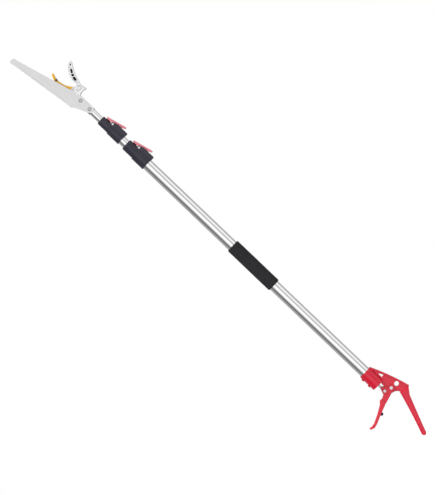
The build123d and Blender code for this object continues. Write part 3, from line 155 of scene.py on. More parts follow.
# Springs: steps a turn, sides of the wire, closed share of a turn at each end and its pitch in wire radii
COIL_STEPS, WIRE_SIDES = 28, 12
CLOSED_TURN = 0.75
CLOSED_PITCH = 2.02

# Bumper: straight share of its height, power of its dome, steps, and its end rings as shares of a radius
BUMPER_FOOT = 0.25
DOME_POWER = 2.4
DOME_STEPS, BUMPER_SIDES = 16, 40
STEM_TIP, DOME_TIP = 0.02, 0.1

# Serrated blade: rows of its grid, its bevel, the depth of its tang, and where its faces lie along Y
TOOTH_ROWS, TANG_ROWS = 6, 7
EDGE_BEVEL = 0.9 * MM
TANG_DEPTH = 1.0 * MM
BLADE_FRONT, EDGE_BACK, BLADE_BACK = 0.1 * MM, 0.45 * MM, 1.9 * MM

# Studio: direction round the pole in degrees, 0 towards the camera, and brightness of the panels there
PANEL_STOPS = (
    (-180, 0.50), (-112, 0.42), (-90, 0.34), (-72, 0.16), (-60, 0.14), (-48, 0.35), (-32, 0.78), (-18, 1.0),
    (-11, 1.5), (-3, 1.5), (4, 1.0), (14, 1.0), (24, 0.55), (31, 0.40), (38, 0.52), (49, 1.0), (78, 1.0),
    (92, 0.7), (108, 0.40), (122, 0.42), (142, 0.6), (180, 0.50))

# Studio: heights at which the panels give way to a gap, a white top and a foot, as sines of elevation
GAP_HEIGHT, GAP_GREY = (0.28, 0.42), (0.42, 0.42, 0.42, 1.0)
TOP_HEIGHT, WHITE = (0.62, 0.78), (1.0, 1.0, 1.0, 1.0)
FOOT_HEIGHT, FOOT_GREY = (-0.3, -0.55), (0.5, 0.5, 0.5, 1.0)

# Lamps: azimuth and elevation in degrees, distance and size in metres
KEY_FROM, BACK_FROM = (-30.0, 62.0), (165.0, 60.0)
LAMP_DISTANCE, LAMP_SIZE = 3.6, 1.6

# Floor: how far it lies below the tool, its radius, where it fades out, its grid, its grey and its lift
FLOOR_DROP = 0.02
FLOOR_RADIUS, FLOOR_HUB = 1.2, 0.001
FADE_START, FADE_END = 0.45, 1.1
FLOOR_RINGS, FLOOR_SPOKES, RING_POWER = 24, 72, 1.3
FLOOR_GREY = (0.80, 0.80, 0.80, 1.0)
FLOOR_LIFT = 0.34

# Camera
SENSOR_HEIGHT = 36.0
VIEW_DEPTH = 50.0


# Settings

def length_setting(name, description, default, **limits):
    """A length in metres."""
    return FloatProperty(name=name, description=description, unit="LENGTH", default=default, **limits)


def angle_setting(name, description, degrees):
    """An angle, given in degrees."""
    return FloatProperty(name=name, description=description, subtype="ANGLE", default=math.radians(degrees))


def power_setting(name, description, default):
    """A lamp's power in watts."""
    return FloatProperty(name=name, description=description, unit="POWER", default=default)


def point_setting(name, description, default):
    """A point in the part's frame, in metres."""
    return FloatVectorProperty(
        name=name, description=description, subtype="TRANSLATION", size=3, default=default)


def colour_setting(name, description, default):
    """A linear colour."""
    return FloatVectorProperty(name=name, description=description, subtype="COLOR", size=3, default=default)


class FinishSettings(bpy.types.PropertyGroup):
    """Colours of the tool's finishes, and the softness of its edges."""

    red: colour_setting("Casting red", "Paint of the handle and the trigger", (0.82, 0.010, 0.045))
    # The levers' red moulding is lightened towards pink, partly painted highlight
    lever: colour_setting("Lever red", "Moulding colour of the two lock levers", (0.84, 0.25, 0.30))
    yellow: colour_setting("Jaw yellow", "Paint of the fixed jaw", (0.88, 0.49, 0.026))
    plastic: colour_setting("Lock black", "Moulding colour of the lock housings", (0.026, 0.0245, 0.041))
    foam: colour_setting("Foam black", "Colour of the foam grip", (0.034, 0.034, 0.037))
    neck: colour_setting("Neck grey", "Coating of the neck ferrule", (0.085, 0.085, 0.10))
    tube: colour_setting("Tube", "Bright drawn tube of the pole", (0.92, 0.922, 0.93))
    blade: colour_setting("Blade", "Ground steel of the saw", (0.72, 0.72, 0.72))
    edge_radius: length_setting(
        "Edge softness", "How far a sharp edge is rounded in the shading", 0.0006, min=0.0, max=0.003)


class GripSettings(bpy.types.PropertyGroup):
    """Sizes of the foam grip."""

    length: length_setting("Length", "Length of the foam sleeve along the pole", GRIP_HIGH[2] - GRIP_LOW[2])
    diameter: length_setting("Diameter", "Outside diameter of the foam sleeve", GRIP_HIGH[0] - GRIP_LOW[0])
    bore: length_setting(
        "Bore", "Diameter of the hole that the tube fills", TUBE_HIGH[0] - TUBE_LOW[0] + BORE_SLACK)
    end_round: length_setting("End round", "Radius of the sleeve's outer ends", 3.2 * MM)
    unevenness: length_setting(
        "Unevenness", "How far the sleeve's skin strays from a true round", 0.10 * MM)


class SpringSettings(bpy.types.PropertyGroup):
    """Sizes of the return spring and the two lock springs."""

    return_wire: length_setting("Return wire", "Wire of the pull rod's return spring", 1.8 * MM)
    return_turns: FloatProperty(
        name="Return turns", description="Turns of the return spring", default=5.0)
    return_keep: FloatProperty(
        name="Return squeeze", description="Share of its length that it keeps when the trigger is pulled",
        default=0.59)
    lock_wire: length_setting("Lock wire", "Wire of a lock spring", 0.9 * MM)
    lock_turns: FloatProperty(
        name="Lock turns", description="Turns of a lock spring", default=4.0)
    lock_keep: FloatProperty(
        name="Lock squeeze", description="Share of its length that it keeps when the lever is pressed",
        default=0.72)


class SawSettings(bpy.types.PropertyGroup):
    """The saw's tooth line, as it is ground."""

    tooth_heel: point_setting(
        "Tooth heel", "Lower end of the line of tooth tips", (-31.0 * MM, 0.0, 632.7 * MM))
    tooth_toe: point_setting(
        "Tooth toe", "Upper end of the line of tooth tips", (-53.8 * MM, 0.0, 806.0 * MM))
    tooth_band: length_setting("Ground band", "Depth of the band that is ground for the teeth", 6.5 * MM)
    facet: length_setting("Facet", "Width of a tooth's ground facet", 1.1 * MM)


class EdgeSettings(bpy.types.PropertyGroup):
    """The moving jaw's cutting blade, with its serrated edge."""

    centre: point_setting("Centre", "Centre of the blade's arc", (75.162 * MM, 0.0, 661.041 * MM))
    radius: length_setting("Radius", "Radius of the jaw's belly", 50.3 * MM)
    toe: angle_setting("Toe", "Angle of the blade's toe", 119.5)
    heel: angle_setting("Heel", "Angle at which the edge ends", 179.5)
    tang: angle_setting("Tang", "Angle at which the tang ends", 186.9)
    proud: length_setting("Proud", "How far the edge stands out of the belly", 1.6 * MM)
    back: FloatVectorProperty(
        name="Back", description="Depth of the blade's back at its toe, middle and tang",
        unit="LENGTH", size=3, default=(3.2 * MM, 7.4 * MM, 6.0 * MM))
    teeth: IntProperty(
        name="Teeth", description="Number of serrations along the edge", default=30)
    notch: length_setting("Notch", "Depth of a serration", 0.8 * MM)


class BumperSettings(bpy.types.PropertyGroup):
    """Sizes and place of the trigger's rubber bumper."""

    seat: point_setting(
        "Seat", "Middle of the bumper's seat on the trigger", (-49.0 * MM, 0.0, -502.8 * MM))
    turn: angle_setting("Turn", "Direction of the bumper's axis, from X towards Z", -68.0)
    diameter: length_setting("Diameter", "Diameter of the bumper", 9.0 * MM)
    height: length_setting("Height", "Height of the bumper above its seat", 6.0 * MM)
    stem: length_setting("Stem", "Diameter of the stem in the trigger", 3.8 * MM)
    depth: length_setting("Stem length", "Length of the stem in the trigger", 4.9 * MM)


class StageSettings(bpy.types.PropertyGroup):
    """Camera, lamps and studio."""

    roll: angle_setting("Roll", "Turn of the camera about its line of sight", 46.33)
    distance: length_setting("Distance", "Distance of the camera from the pole", 6.0)
    field: length_setting("Field", "Height of the view at the pole", 1.277)
    aim: point_setting("Aim", "Point at the middle of the picture", (-0.030, 0.0, 0.0988))
    key: power_setting("Key lamp", "Power of the front lamp", 100.0)
    back: power_setting("Back lamp", "Power of the lamp behind the tool", 48.0)
    studio: FloatProperty(
        name="Studio", description="Light of the white panels on the tool", default=0.72)
    panels: FloatProperty(
        name="Panels", description="Brightness of the white panels in bare metal", default=1.0)


# Node helpers

def feed(tree, socket, value):
    """Link an input to another node's output, or set it to a plain value."""
    if isinstance(value, bpy.types.NodeSocket):
        tree.links.new(value, socket)
    else:
        socket.default_value = value


def place(tree, kind, values=None, **settings):
    """Add a node, set its options, and set or link its inputs."""
    node = tree.nodes.new(kind)
    for key, value in settings.items():
        setattr(node, key, value)
    for key, value in (values or {}).items():
        feed(tree, node.inputs[key], value)
    return node


def math_node(tree, operation, first, second=0.0, clamp=False):
    """One arithmetic step; gives its output socket."""
    node = place(tree, "ShaderNodeMath", {0: first, 1: second}, operation=operation, use_clamp=clamp)
    return node.outputs[0]


def ramp(tree, value, low, high):
    """A smooth step of a value, from 0 at low to 1 at high."""
    node = place(
        tree, "ShaderNodeMapRange", {"Value": value, "From Min": low, "From Max": high},
        interpolation_type="SMOOTHSTEP")
    return node.outputs["Result"]


def blend_colour(tree, amount, first, second):
    """Mix two colours by an amount; gives its output socket."""
    node = place(tree, "ShaderNodeMix", data_type="RGBA")
    sockets = {socket.identifier: socket for socket in node.inputs}
    feed(tree, sockets["Factor_Float"], amount)
    feed(tree, sockets["A_Color"], first)
    feed(tree, sockets["B_Color"], second)
    return next(out for out in node.outputs if out.identifier == "Result_Color")


def colour(values):
    """A settings colour as four numbers."""
    return (values[0], values[1], values[2], 1.0)


def dimmed(base, share):
    """A share of a colour's brightness."""
    return colour([channel * share for channel in base])


def new_group(name, inputs, outputs):
    """An empty shader node group with named sockets; gives the tree, its input node and its output node."""
    tree = bpy.data.node_groups.new(name, "ShaderNodeTree")
    for label, kind, default in inputs:
        socket = tree.interface.new_socket(label, in_out="INPUT", socket_type=kind)
        if default is not None:
            socket.default_value = default
    for label, kind in outputs:
        tree.interface.new_socket(label, in_out="OUTPUT", socket_type=kind)
    return tree, tree.nodes.new("NodeGroupInput"), tree.nodes.new("NodeGroupOutput")


def grain_spread(tree, enter, noise):
    """A noise read as a roughness between the group's two bounds; gives its output socket."""
    spread = place(tree, "ShaderNodeMapRange", {
        "Value": noise.outputs["Fac"], "From Min": 0.3, "From Max": 0.7,
        "To Min": enter.outputs["Low"], "To Max": enter.outputs["High"]})
    return spread.outputs["Result"]


def grain_group():
    """Fine grain: noise of one size, read as a roughness between two bounds and as a height."""
    tree, enter, leave = new_group(
        "Fine Grain",
        [("Vector", "NodeSocketVector", None), ("Scale", "NodeSocketFloat", 400.0),
         ("Low", "NodeSocketFloat", 0.2), ("High", "NodeSocketFloat", 0.4)],
        [("Roughness", "NodeSocketFloat"), ("Height", "NodeSocketFloat")])
    noise = place(tree, "ShaderNodeTexNoise", {
        "Vector": enter.outputs["Vector"], "Scale": enter.outputs["Scale"],
        "Detail": 4.0, "Roughness": 0.6})
    tree.links.new(grain_spread(tree, enter, noise), leave.inputs["Roughness"])
    tree.links.new(noise.outputs["Fac"], leave.inputs["Height"])
    return tree


def wear_group():
    """Handling wear: broad smudges broken up by fine noise, as a tint over a colour."""
    tree, enter, leave = new_group(
        "Handling Wear",
        [("Vector", "NodeSocketVector", None), ("Color", "NodeSocketColor", (0.5, 0.5, 0.5, 1.0)),
         ("Tint", "NodeSocketColor", (0.2, 0.2, 0.2, 1.0)), ("Scale", "NodeSocketFloat", 20.0),
         ("Amount", "NodeSocketFloat", 0.3)],
        [("Color", "NodeSocketColor")])
    broad = place(tree, "ShaderNodeTexNoise", {
        "Vector": enter.outputs["Vector"], "Scale": enter.outputs["Scale"],
        "Detail": 5.0, "Roughness": 0.65})
    fine_scale = math_node(tree, "MULTIPLY", enter.outputs["Scale"], FINE_TIMES)
    fine = place(tree, "ShaderNodeTexNoise", {
        "Vector": enter.outputs["Vector"], "Scale": fine_scale, "Detail": 3.0})
    patches = ramp(tree, broad.outputs["Fac"], low=0.42, high=0.72)
    specks = ramp(tree, fine.outputs["Fac"], low=0.3, high=0.65)
    joined = math_node(tree, "MULTIPLY", patches, specks)
    mask = math_node(tree, "MULTIPLY", joined, enter.outputs["Amount"], clamp=True)
    worn = blend_colour(tree, mask, enter.outputs["Color"], enter.outputs["Tint"])
    tree.links.new(worn, leave.inputs["Color"])
    return tree


def drawn_group():
    """Drawn or ground lines: noise stretched along one direction, as a roughness, a height and a tone."""
    tree, enter, leave = new_group(
        "Drawn Lines",
        [("Vector", "NodeSocketVector", None), ("Stretch", "NodeSocketVector", (1.0, 1.0, 0.01)),
         ("Scale", "NodeSocketFloat", 900.0), ("Low", "NodeSocketFloat", 0.12),
         ("High", "NodeSocketFloat", 0.2)],
        [("Roughness", "NodeSocketFloat"), ("Height", "NodeSocketFloat"), ("Tone", "NodeSocketFloat")])
    stretched = place(tree, "ShaderNodeVectorMath", {
        0: enter.outputs["Vector"], 1: enter.outputs["Stretch"]}, operation="MULTIPLY")
    noise = place(tree, "ShaderNodeTexNoise", {
        "Vector": stretched.outputs[0], "Scale": enter.outputs["Scale"], "Detail": 3.0, "Roughness": 0.7})
    tree.links.new(grain_spread(tree, enter, noise), leave.inputs["Roughness"])
    tree.links.new(noise.outputs["Fac"], leave.inputs["Height"])
    tree.links.new(ramp(tree, noise.outputs["Fac"], low=0.25, high=0.75), leave.inputs["Tone"])
    return tree


def edge_group():
    """Soft edges: the normal rounded over a small radius, and a tint where it leaves the surface's own."""
    tree, enter, leave = new_group(
        "Soft Edges",
        [("Radius", "NodeSocketFloat", 0.0006), ("Color", "NodeSocketColor", (0.5, 0.5, 0.5, 1.0)),
         ("Edge Color", "NodeSocketColor", (0.8, 0.8, 0.8, 1.0)), ("Amount", "NodeSocketFloat", 0.4)],
        [("Color", "NodeSocketColor"), ("Normal", "NodeSocketVector")])
    rounded = place(tree, "ShaderNodeBevel", {"Radius": enter.outputs["Radius"]}, samples=6)
    surface = tree.nodes.new("ShaderNodeNewGeometry")
    agree = place(tree, "ShaderNodeVectorMath", {
        0: rounded.outputs["Normal"], 1: surface.outputs["Normal"]}, operation="DOT_PRODUCT")
    turned = ramp(tree, agree.outputs["Value"], low=0.99, high=0.78)
    mask = math_node(tree, "MULTIPLY", turned, enter.outputs["Amount"])
    rimmed = blend_colour(tree, mask, enter.outputs["Color"], enter.outputs["Edge Color"])
    tree.links.new(rimmed, leave.inputs["Color"])
    tree.links.new(rounded.outputs["Normal"], leave.inputs["Normal"])
    return tree


GROUP_MAKERS = {
    "Fine Grain": grain_group,
    "Handling Wear": wear_group,
    "Drawn Lines": drawn_group,
    "Soft Edges": edge_group,
}


def use_group(tree, name, values):
    """Place a shared node group, building it the first time."""
    shared = bpy.data.node_groups.get(name) or GROUP_MAKERS[name]()
    return place(tree, "ShaderNodeGroup", values, node_tree=shared)


# Finishes

def blank_finish(name):
    """A material with one Principled shader; gives the material, tree, shader and Object coordinates."""
    material = bpy.data.materials.new(name)
    material.use_nodes = True
    tree = material.node_tree
    shader = next(node for node in tree.nodes if node.bl_idname == "ShaderNodeBsdfPrincipled")
    where = tree.nodes.new("ShaderNodeTexCoord").outputs["Object"]
    return material, tree, shader, where


def fill_shader(tree, shader, values):
    """Set or link the shader's inputs."""
    for key, value in values.items():
        feed(tree, shader.inputs[key], value)


def raised(tree, height, strength, distance, normal=None):
    """The normal of a surface with a height on it, over a rounded normal where one is given."""
    values = {"Strength": strength, "Distance": distance, "Height": height}
    if normal is not None:
        values["Normal"] = normal
    return place(tree, "ShaderNodeBump", values).outputs["Normal"]


def painted(name, base, rim, dirt, settings, gloss=PAINT_GLOSS,
            coat=0.3, peel=700.0, reach=1.0, amount=0.2):
    """Glossy paint, or a moulding as glossy: orange peel, faint smudges and rims of another tone; dark rims
    are painted shade.
    """
    material, tree, shader, where = blank_finish(name)
    smudged = use_group(tree, "Handling Wear", {
        "Vector": where, "Color": base, "Tint": dirt, "Scale": 26.0, "Amount": 0.14})
    edges = use_group(tree, "Soft Edges", {
        "Radius": reach * settings.edge_radius, "Color": smudged.outputs["Color"],
        "Edge Color": rim, "Amount": amount})
    grain = use_group(tree, "Fine Grain", {
        "Vector": where, "Scale": peel, "Low": gloss[0], "High": gloss[1]})
    peeled = raised(tree, grain.outputs["Height"], strength=0.12, distance=0.3 * MM,
                    normal=edges.outputs["Normal"])
    fill_shader(tree, shader, {
        "Base Color": edges.outputs["Color"], "Roughness": grain.outputs["Roughness"], "Normal": peeled,
        "Specular IOR Level": 0.35, "Coat Weight": coat, "Coat Roughness": 0.08})
    return material


def moulded(name, base, rubbed, settings, gloss=MOULD_GLOSS):
    """Moulded plastic or rubber: a fine matte skin, rubbed bright at its edges."""
    material, tree, shader, where = blank_finish(name)
    smudged = use_group(tree, "Handling Wear", {
        "Vector": where, "Color": base, "Tint": rubbed, "Scale": 30.0, "Amount": 0.25})
    edges = use_group(tree, "Soft Edges", {
        "Radius": settings.edge_radius, "Color": smudged.outputs["Color"],
        "Edge Color": rubbed, "Amount": 0.5})
    grain = use_group(tree, "Fine Grain", {
        "Vector": where, "Scale": 2600.0, "Low": gloss[0], "High": gloss[1]})
    skin = raised(tree, grain.outputs["Height"], strength=0.25, distance=0.2 * MM,
                  normal=edges.outputs["Normal"])
    fill_shader(tree, shader, {
        "Base Color": edges.outputs["Color"], "Roughness": grain.outputs["Roughness"], "Normal": skin})
    return material


def bright_metal(name, base, settings, gloss, stretch, scale=900.0, depth=0.08, tone=0.06):
    """Bare metal with drawn or ground lines along one direction."""
    material, tree, shader, where = blank_finish(name)
    lines = use_group(tree, "Drawn Lines", {
        "Vector": where, "Stretch": stretch, "Scale": scale, "Low": gloss[0], "High": gloss[1]})
    lined = blend_colour(tree, lines.outputs["Tone"], dimmed(base, share=1.0 - tone), base)
    smudged = use_group(tree, "Handling Wear", {
        "Vector": where, "Color": lined, "Tint": dimmed(base, share=0.75), "Scale": 18.0, "Amount": 0.10})
    edges = use_group(tree, "Soft Edges", {
        "Radius": settings.edge_radius, "Color": smudged.outputs["Color"],
        "Edge Color": base, "Amount": 0.5})
    drawn = raised(tree, lines.outputs["Height"], strength=depth, distance=0.1 * MM,
                   normal=edges.outputs["Normal"])
    fill_shader(tree, shader, {
        "Base Color": edges.outputs["Color"], "Roughness": lines.outputs["Roughness"], "Normal": drawn,
        "Metallic": 1.0})
    return material


def pocket_shade_mask(tree, where):
    """A mask for painted shade on the jaw's pocket floors: faces across Y that lie deeper than its sides.
    """
    split = place(tree, "ShaderNodeSeparateXYZ", {"Vector": where})
    depth = math_node(tree, "ABSOLUTE", split.outputs["Y"])
    surface = tree.nodes.new("ShaderNodeNewGeometry")
    facing = place(tree, "ShaderNodeSeparateXYZ", {"Vector": surface.outputs["Normal"]})
    level = math_node(tree, "ABSOLUTE", facing.outputs["Y"])
    deep = math_node(tree, "LESS_THAN", depth, POCKET_FLOOR)
    flat = math_node(tree, "GREATER_THAN", level, POCKET_FACING)
    return math_node(tree, "MULTIPLY", deep, flat)


def polished(name, base, settings, pockets=False):
    """Polished casting: slow waves of polishing, painted shade along its edges and on a jaw's pocket
    floors.
    """
    material, tree, shader, where = blank_finish(name)
    grain = use_group(tree, "Fine Grain", {
        "Vector": where, "Scale": 240.0, "Low": POLISH_GLOSS[0], "High": POLISH_GLOSS[1]})
    smudged = use_group(tree, "Handling Wear", {
        "Vector": where, "Color": base, "Tint": CASTING_SMUDGE, "Scale": 60.0, "Amount": 0.35})
    # Dark rims several edge radii wide: painted shade along the casting's edges
    edges = use_group(tree, "Soft Edges", {
        "Radius": CASTING_REACH * settings.edge_radius, "Color": smudged.outputs["Color"],
        "Edge Color": CASTING_SHADE_RIM, "Amount": 0.85})
    tone = edges.outputs["Color"]
    if pockets:
        # Painted shade on the pocket floors
        tone = blend_colour(tree, pocket_shade_mask(tree, where), tone, POCKET_SHADE)
    waved = raised(tree, grain.outputs["Height"], strength=0.05, distance=0.4 * MM,
                   normal=edges.outputs["Normal"])
    fill_shader(tree, shader, {
        "Base Color": tone, "Roughness": grain.outputs["Roughness"], "Normal": waved, "Metallic": 1.0})
    return material


def foam_finish(settings):
    """Closed-cell foam: small round cells over a soft uneven skin, dull all over."""
    material, tree, shader, where = blank_finish("foam_skin")
    cells = place(tree, "ShaderNodeTexVoronoi", {"Vector": where, "Scale": 1100.0})
    grain = use_group(tree, "Fine Grain", {
        "Vector": where, "Scale": 500.0, "Low": FOAM_GLOSS[0], "High": FOAM_GLOSS[1]})
    smudged = use_group(tree, "Handling Wear", {
        "Vector": where, "Color": colour(settings.foam), "Tint": FOAM_DUST, "Scale": 40.0, "Amount": 0.5})
    walls = ramp(tree, cells.outputs["Distance"], low=0.0, high=0.6)
    joined = math_node(tree, "ADD", walls, grain.outputs["Height"])
    fill_shader(tree, shader, {
        "Base Color": smudged.outputs["Color"], "Roughness": grain.outputs["Roughness"],
        "Normal": raised(tree, joined, strength=0.8, distance=0.5 * MM), "Specular IOR Level": 0.2})
    return material


def saw_finish(settings, saw):
    """Ground saw steel: lines along the blade, and painted shade on the ground facets of the teeth."""
    material, tree, shader, where = blank_finish("saw_steel")
    base = colour(settings.blade)
    lines = use_group(tree, "Drawn Lines", {
        "Vector": where, "Stretch": ALONG_SAW, "Scale": 500.0, "Low": SAW_GLOSS[0], "High": SAW_GLOSS[1]})
    lined = blend_colour(tree, lines.outputs["Tone"], dimmed(base, share=0.93), base)
    smudged = use_group(tree, "Handling Wear", {
        "Vector": where, "Color": lined, "Tint": dimmed(base, share=0.8), "Scale": 22.0, "Amount": 0.2})
    # The facets' dark grey, in a band along the teeth, is painted shade
    ground = use_group(tree, "Soft Edges", {
        "Radius": saw.facet, "Color": smudged.outputs["Color"], "Edge Color": TOOTH_SHADE, "Amount": 0.9})
    heel, toe = Vector(saw.tooth_heel), Vector(saw.tooth_toe)
    along = (toe - heel).normalized()
    across = Vector((along.z, 0.0, -along.x))
    height = place(tree, "ShaderNodeVectorMath", {0: where, 1: across}, operation="DOT_PRODUCT")
    start = across.dot(heel)
    band = ramp(tree, height.outputs["Value"],
                low=start + saw.tooth_band, high=start + GROUND_SHARE * saw.tooth_band)
    tone = blend_colour(tree, band, smudged.outputs["Color"], ground.outputs["Color"])
    ground_lines = raised(tree, lines.outputs["Height"], strength=0.10, distance=0.1 * MM)
    fill_shader(tree, shader, {
        "Base Color": tone, "Roughness": lines.outputs["Roughness"], "Normal": ground_lines,
        "Metallic": 1.0})
    return material


def dress(finishes):
    """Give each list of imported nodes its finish, on every slot."""
    for material, nodes in finishes:
        for node in nodes.split():
            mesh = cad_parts[node].data
            mesh.materials.clear()
            mesh.materials.append(material)


# New surfaces

def outward(points, faces):
    """Faces turned so that the volume they enclose, by the divergence theorem, is positive."""
    corners = points[faces]
    first, second, third, fourth = np.moveaxis(corners, 1, 0)
    halves = np.einsum("ij,ij->i", first, np.cross(second, third) + np.cross(third, fourth))
    return faces if halves.sum() > 0 else faces[:, ::-1]


def grid_object(name, points, material, ring=False, solid=True, smooth=True):
    """An object on a grid of points, closed round its columns.

    A ring is closed along its rows too. Any other solid has its first and last row filled by one face each.
    """
    rows, columns = points.shape[:2]
    index = np.arange(rows * columns).reshape(rows, columns)
    lower, upper = (index, np.roll(index, -1, axis=0)) if ring else (index[:-1], index[1:])
    corners = [lower, np.roll(lower, -1, axis=1), np.roll(upper, -1, axis=1), upper]
    faces = np.stack(corners, axis=-1).reshape(-1, 4)
    flat = points.reshape(-1, 3)
    turned = outward(flat, faces) if solid else faces
    polygons = turned.tolist()
    if solid and not ring:
        kept = turned is faces
        polygons += [index[0][::-1].tolist() if kept else index[0].tolist(),
                     index[-1].tolist() if kept else index[-1][::-1].tolist()]
    mesh = bpy.data.meshes.new(name)
    mesh.from_pydata(flat.tolist(), [], polygons)
    mesh.polygons.foreach_set("use_smooth", np.full(len(mesh.polygons), smooth))
    mesh.materials.append(material)
    mesh.update()
    piece = bpy.data.objects.new(name, mesh)
    bpy.context.scene.collection.objects.link(piece)
    return piece


def sleeve_points(grip):
    """A sleeve: a profile of outer wall, two quarter-round ends and bore, turned once about Z.

    Each point is (r cos a, r sin a, z); r is the profile's radius less a small depth, which varies as a sum
    of sines of angle and height and fades out towards the bore.
    """
    half, outer, bore, round_r = grip.length / 2, grip.diameter / 2, grip.bore / 2, grip.end_round
    quarter = np.linspace(0.0, QUARTER_TURN, END_STEPS)
    wall = np.linspace(-half + round_r, half - round_r, WALL_STEPS)[1:-1]
    end_r = outer - round_r + round_r * np.cos(quarter)
    end_z = half - round_r + round_r * np.sin(quarter)
    hole = np.linspace(half, -half, BORE_STEPS)
    radius = np.concatenate([np.full_like(wall, outer), end_r, np.full_like(hole, bore), end_r[::-1]])
    height = np.concatenate([wall, end_z, hole, -end_z[::-1]])
    angle = np.linspace(0.0, FULL_TURN, SLEEVE_SIDES, endpoint=False)
    high, turn = np.meshgrid(height, angle, indexing="ij")
    skin = np.clip((radius - bore) / (outer - bore), 0.0, 1.0)[:, None]
    stray = sum(share * np.sin(lobes * turn + waves * high + phase)
                for lobes, waves, share, phase in SKIN_WAVES)
    reach = radius[:, None] + grip.unevenness * skin * (SKIN_SWING * stray - 1.0)
    return np.stack([reach * np.cos(turn), reach * np.sin(turn), high], axis=-1)


def coil_points(base, axis, across, mean_radius, wire_radius, length, turns):
    """A spring: a small circle carried along a helix from base, with closed end turns.

    The helix is base + R (cos t u + sin t v) + h(t) w. The height h rises slowly over the first and last
    three quarters of a turn and evenly between, and the circle stands across the helix's own direction.
    """
    w = np.array(axis, dtype=float)
    u = np.array(across, dtype=float)
    v = np.cross(w, u)
    t = np.linspace(0.0, FULL_TURN * turns, int(COIL_STEPS * turns) + 1)
    wound = t / FULL_TURN
    share = np.clip((wound - CLOSED_TURN) / (turns - 2 * CLOSED_TURN), 0.0, 1.0)
    ends = np.minimum(wound, CLOSED_TURN) + np.maximum(wound - (turns - CLOSED_TURN), 0.0)
    pitch = CLOSED_PITCH * wire_radius
    body = length - 2 * wire_radius - 2 * CLOSED_TURN * pitch
    height = wire_radius + ends * pitch + share * body
    ring = np.cos(t)[:, None] * u + np.sin(t)[:, None] * v
    centre = np.array(base) + mean_radius * ring + height[:, None] * w
    along = np.gradient(centre, axis=0)
    along /= np.linalg.norm(along, axis=1)[:, None]
    side = np.cross(along, ring)
    p = np.linspace(0.0, FULL_TURN, WIRE_SIDES, endpoint=False)
    circle = np.cos(p)[None, :, None] * ring[:, None] + np.sin(p)[None, :, None] * side[:, None]
    return centre[:, None] + wire_radius * circle


def bumper_points(bumper):
    """A rubber bumper: a profile of stem, flat seat and domed cap, turned once about its own axis.

    Along the axis s, above its straight foot s0, the cap's radius is R (1 - g^n)^(1/n), where g is
    (s - s0) / (h - s0) and n the dome's power.
    """
    axis = np.array([math.cos(bumper.turn), 0.0, math.sin(bumper.turn)])
    side = np.array([0.0, 1.0, 0.0])
    third = np.cross(axis, side)
    foot = BUMPER_FOOT * bumper.height
    rise = np.sin(np.linspace(0.0, QUARTER_TURN, DOME_STEPS))
    cap, stem = bumper.diameter / 2, bumper.stem / 2
    dome = np.maximum(1.0 - rise ** DOME_POWER, 0.0) ** (1 / DOME_POWER) * cap
    radius = np.concatenate([[stem * STEM_TIP, stem, stem, cap], dome[:-1], [dome[-2] * DOME_TIP]])
    climb = foot + (bumper.height - foot) * rise[:-1]
    along = np.concatenate([[-bumper.depth, -bumper.depth, 0.0, 0.0], climb, [bumper.height]])
    turn = np.linspace(0.0, FULL_TURN, BUMPER_SIDES, endpoint=False)
    ring = np.cos(turn)[:, None] * side + np.sin(turn)[:, None] * third
    return np.array(bumper.seat) + along[:, None, None] * axis + radius[:, None, None] * ring


def serrated_points(edge):
    """A serrated blade: a flat section with one bevelled side, carried along the jaw's arc.

    At any angle the edge lies at R + p - n |2 f - 1|, where f is the share of the tooth passed, and past
    the heel it falls evenly to the tang. The back is a parabola through three depths.
    """
    rows = np.linspace(0.0, 1.0, edge.teeth * TOOTH_ROWS + 1)
    toothed = edge.toe + rows * (edge.heel - edge.toe)
    angle = np.concatenate([toothed, np.linspace(edge.heel, edge.tang, TANG_ROWS)[1:]])
    passed = np.clip((angle - edge.toe) / (edge.heel - edge.toe), 0.0, 1.0) * edge.teeth % 1.0
    fall = np.clip((angle - edge.heel) / (edge.tang - edge.heel), 0.0, 1.0)
    notched = edge.notch * np.abs(2.0 * passed - 1.0) * (fall == 0.0)
    outer = edge.radius + edge.proud - notched - fall * (edge.proud + TANG_DEPTH)
    stations = [edge.toe, (edge.toe + edge.tang) / 2, edge.tang]
    inner = edge.radius - np.polyval(np.polyfit(stations, list(edge.back), 2), angle)
    bevel = np.minimum(outer, edge.radius + edge.proud - notched.max()) - EDGE_BEVEL
    reach = np.stack([inner, bevel, outer, outer, inner], axis=-1)
    depth = np.array([BLADE_BACK, BLADE_BACK, EDGE_BACK, BLADE_FRONT, BLADE_FRONT])
    x = edge.centre[0] + reach * np.cos(angle)[:, None]
    z = edge.centre[2] + reach * np.sin(angle)[:, None]
    return np.stack([x, np.broadcast_to(depth, x.shape), z], axis=-1)


def spring_piece(name, node, body, points, material):
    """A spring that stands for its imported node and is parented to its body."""
    piece = grid_object(name, points, material)
    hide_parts(node)
    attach(piece, body)
    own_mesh(piece)


# Stage

def aimed_lamp(name, direction, power, target):
    """A square lamp that faces the target from an azimuth and an elevation in degrees."""
    turn, rise = map(math.radians, direction)
    away = Vector((math.sin(turn) * math.cos(rise), -math.cos(turn) * math.cos(rise), math.sin(rise)))
    lamp = bpy.data.lights.new(name, "AREA")
    lamp.shape = "SQUARE"
    lamp.size = LAMP_SIZE
    lamp.energy = power
    holder = bpy.data.objects.new(name, lamp)
    facing = away.to_track_quat("Z", "Y").to_matrix().to_4x4()
    holder.matrix_world = Matrix.Translation(target + away * LAMP_DISTANCE) @ facing
    holder.visible_glossy = False
    bpy.context.scene.collection.objects.link(holder)


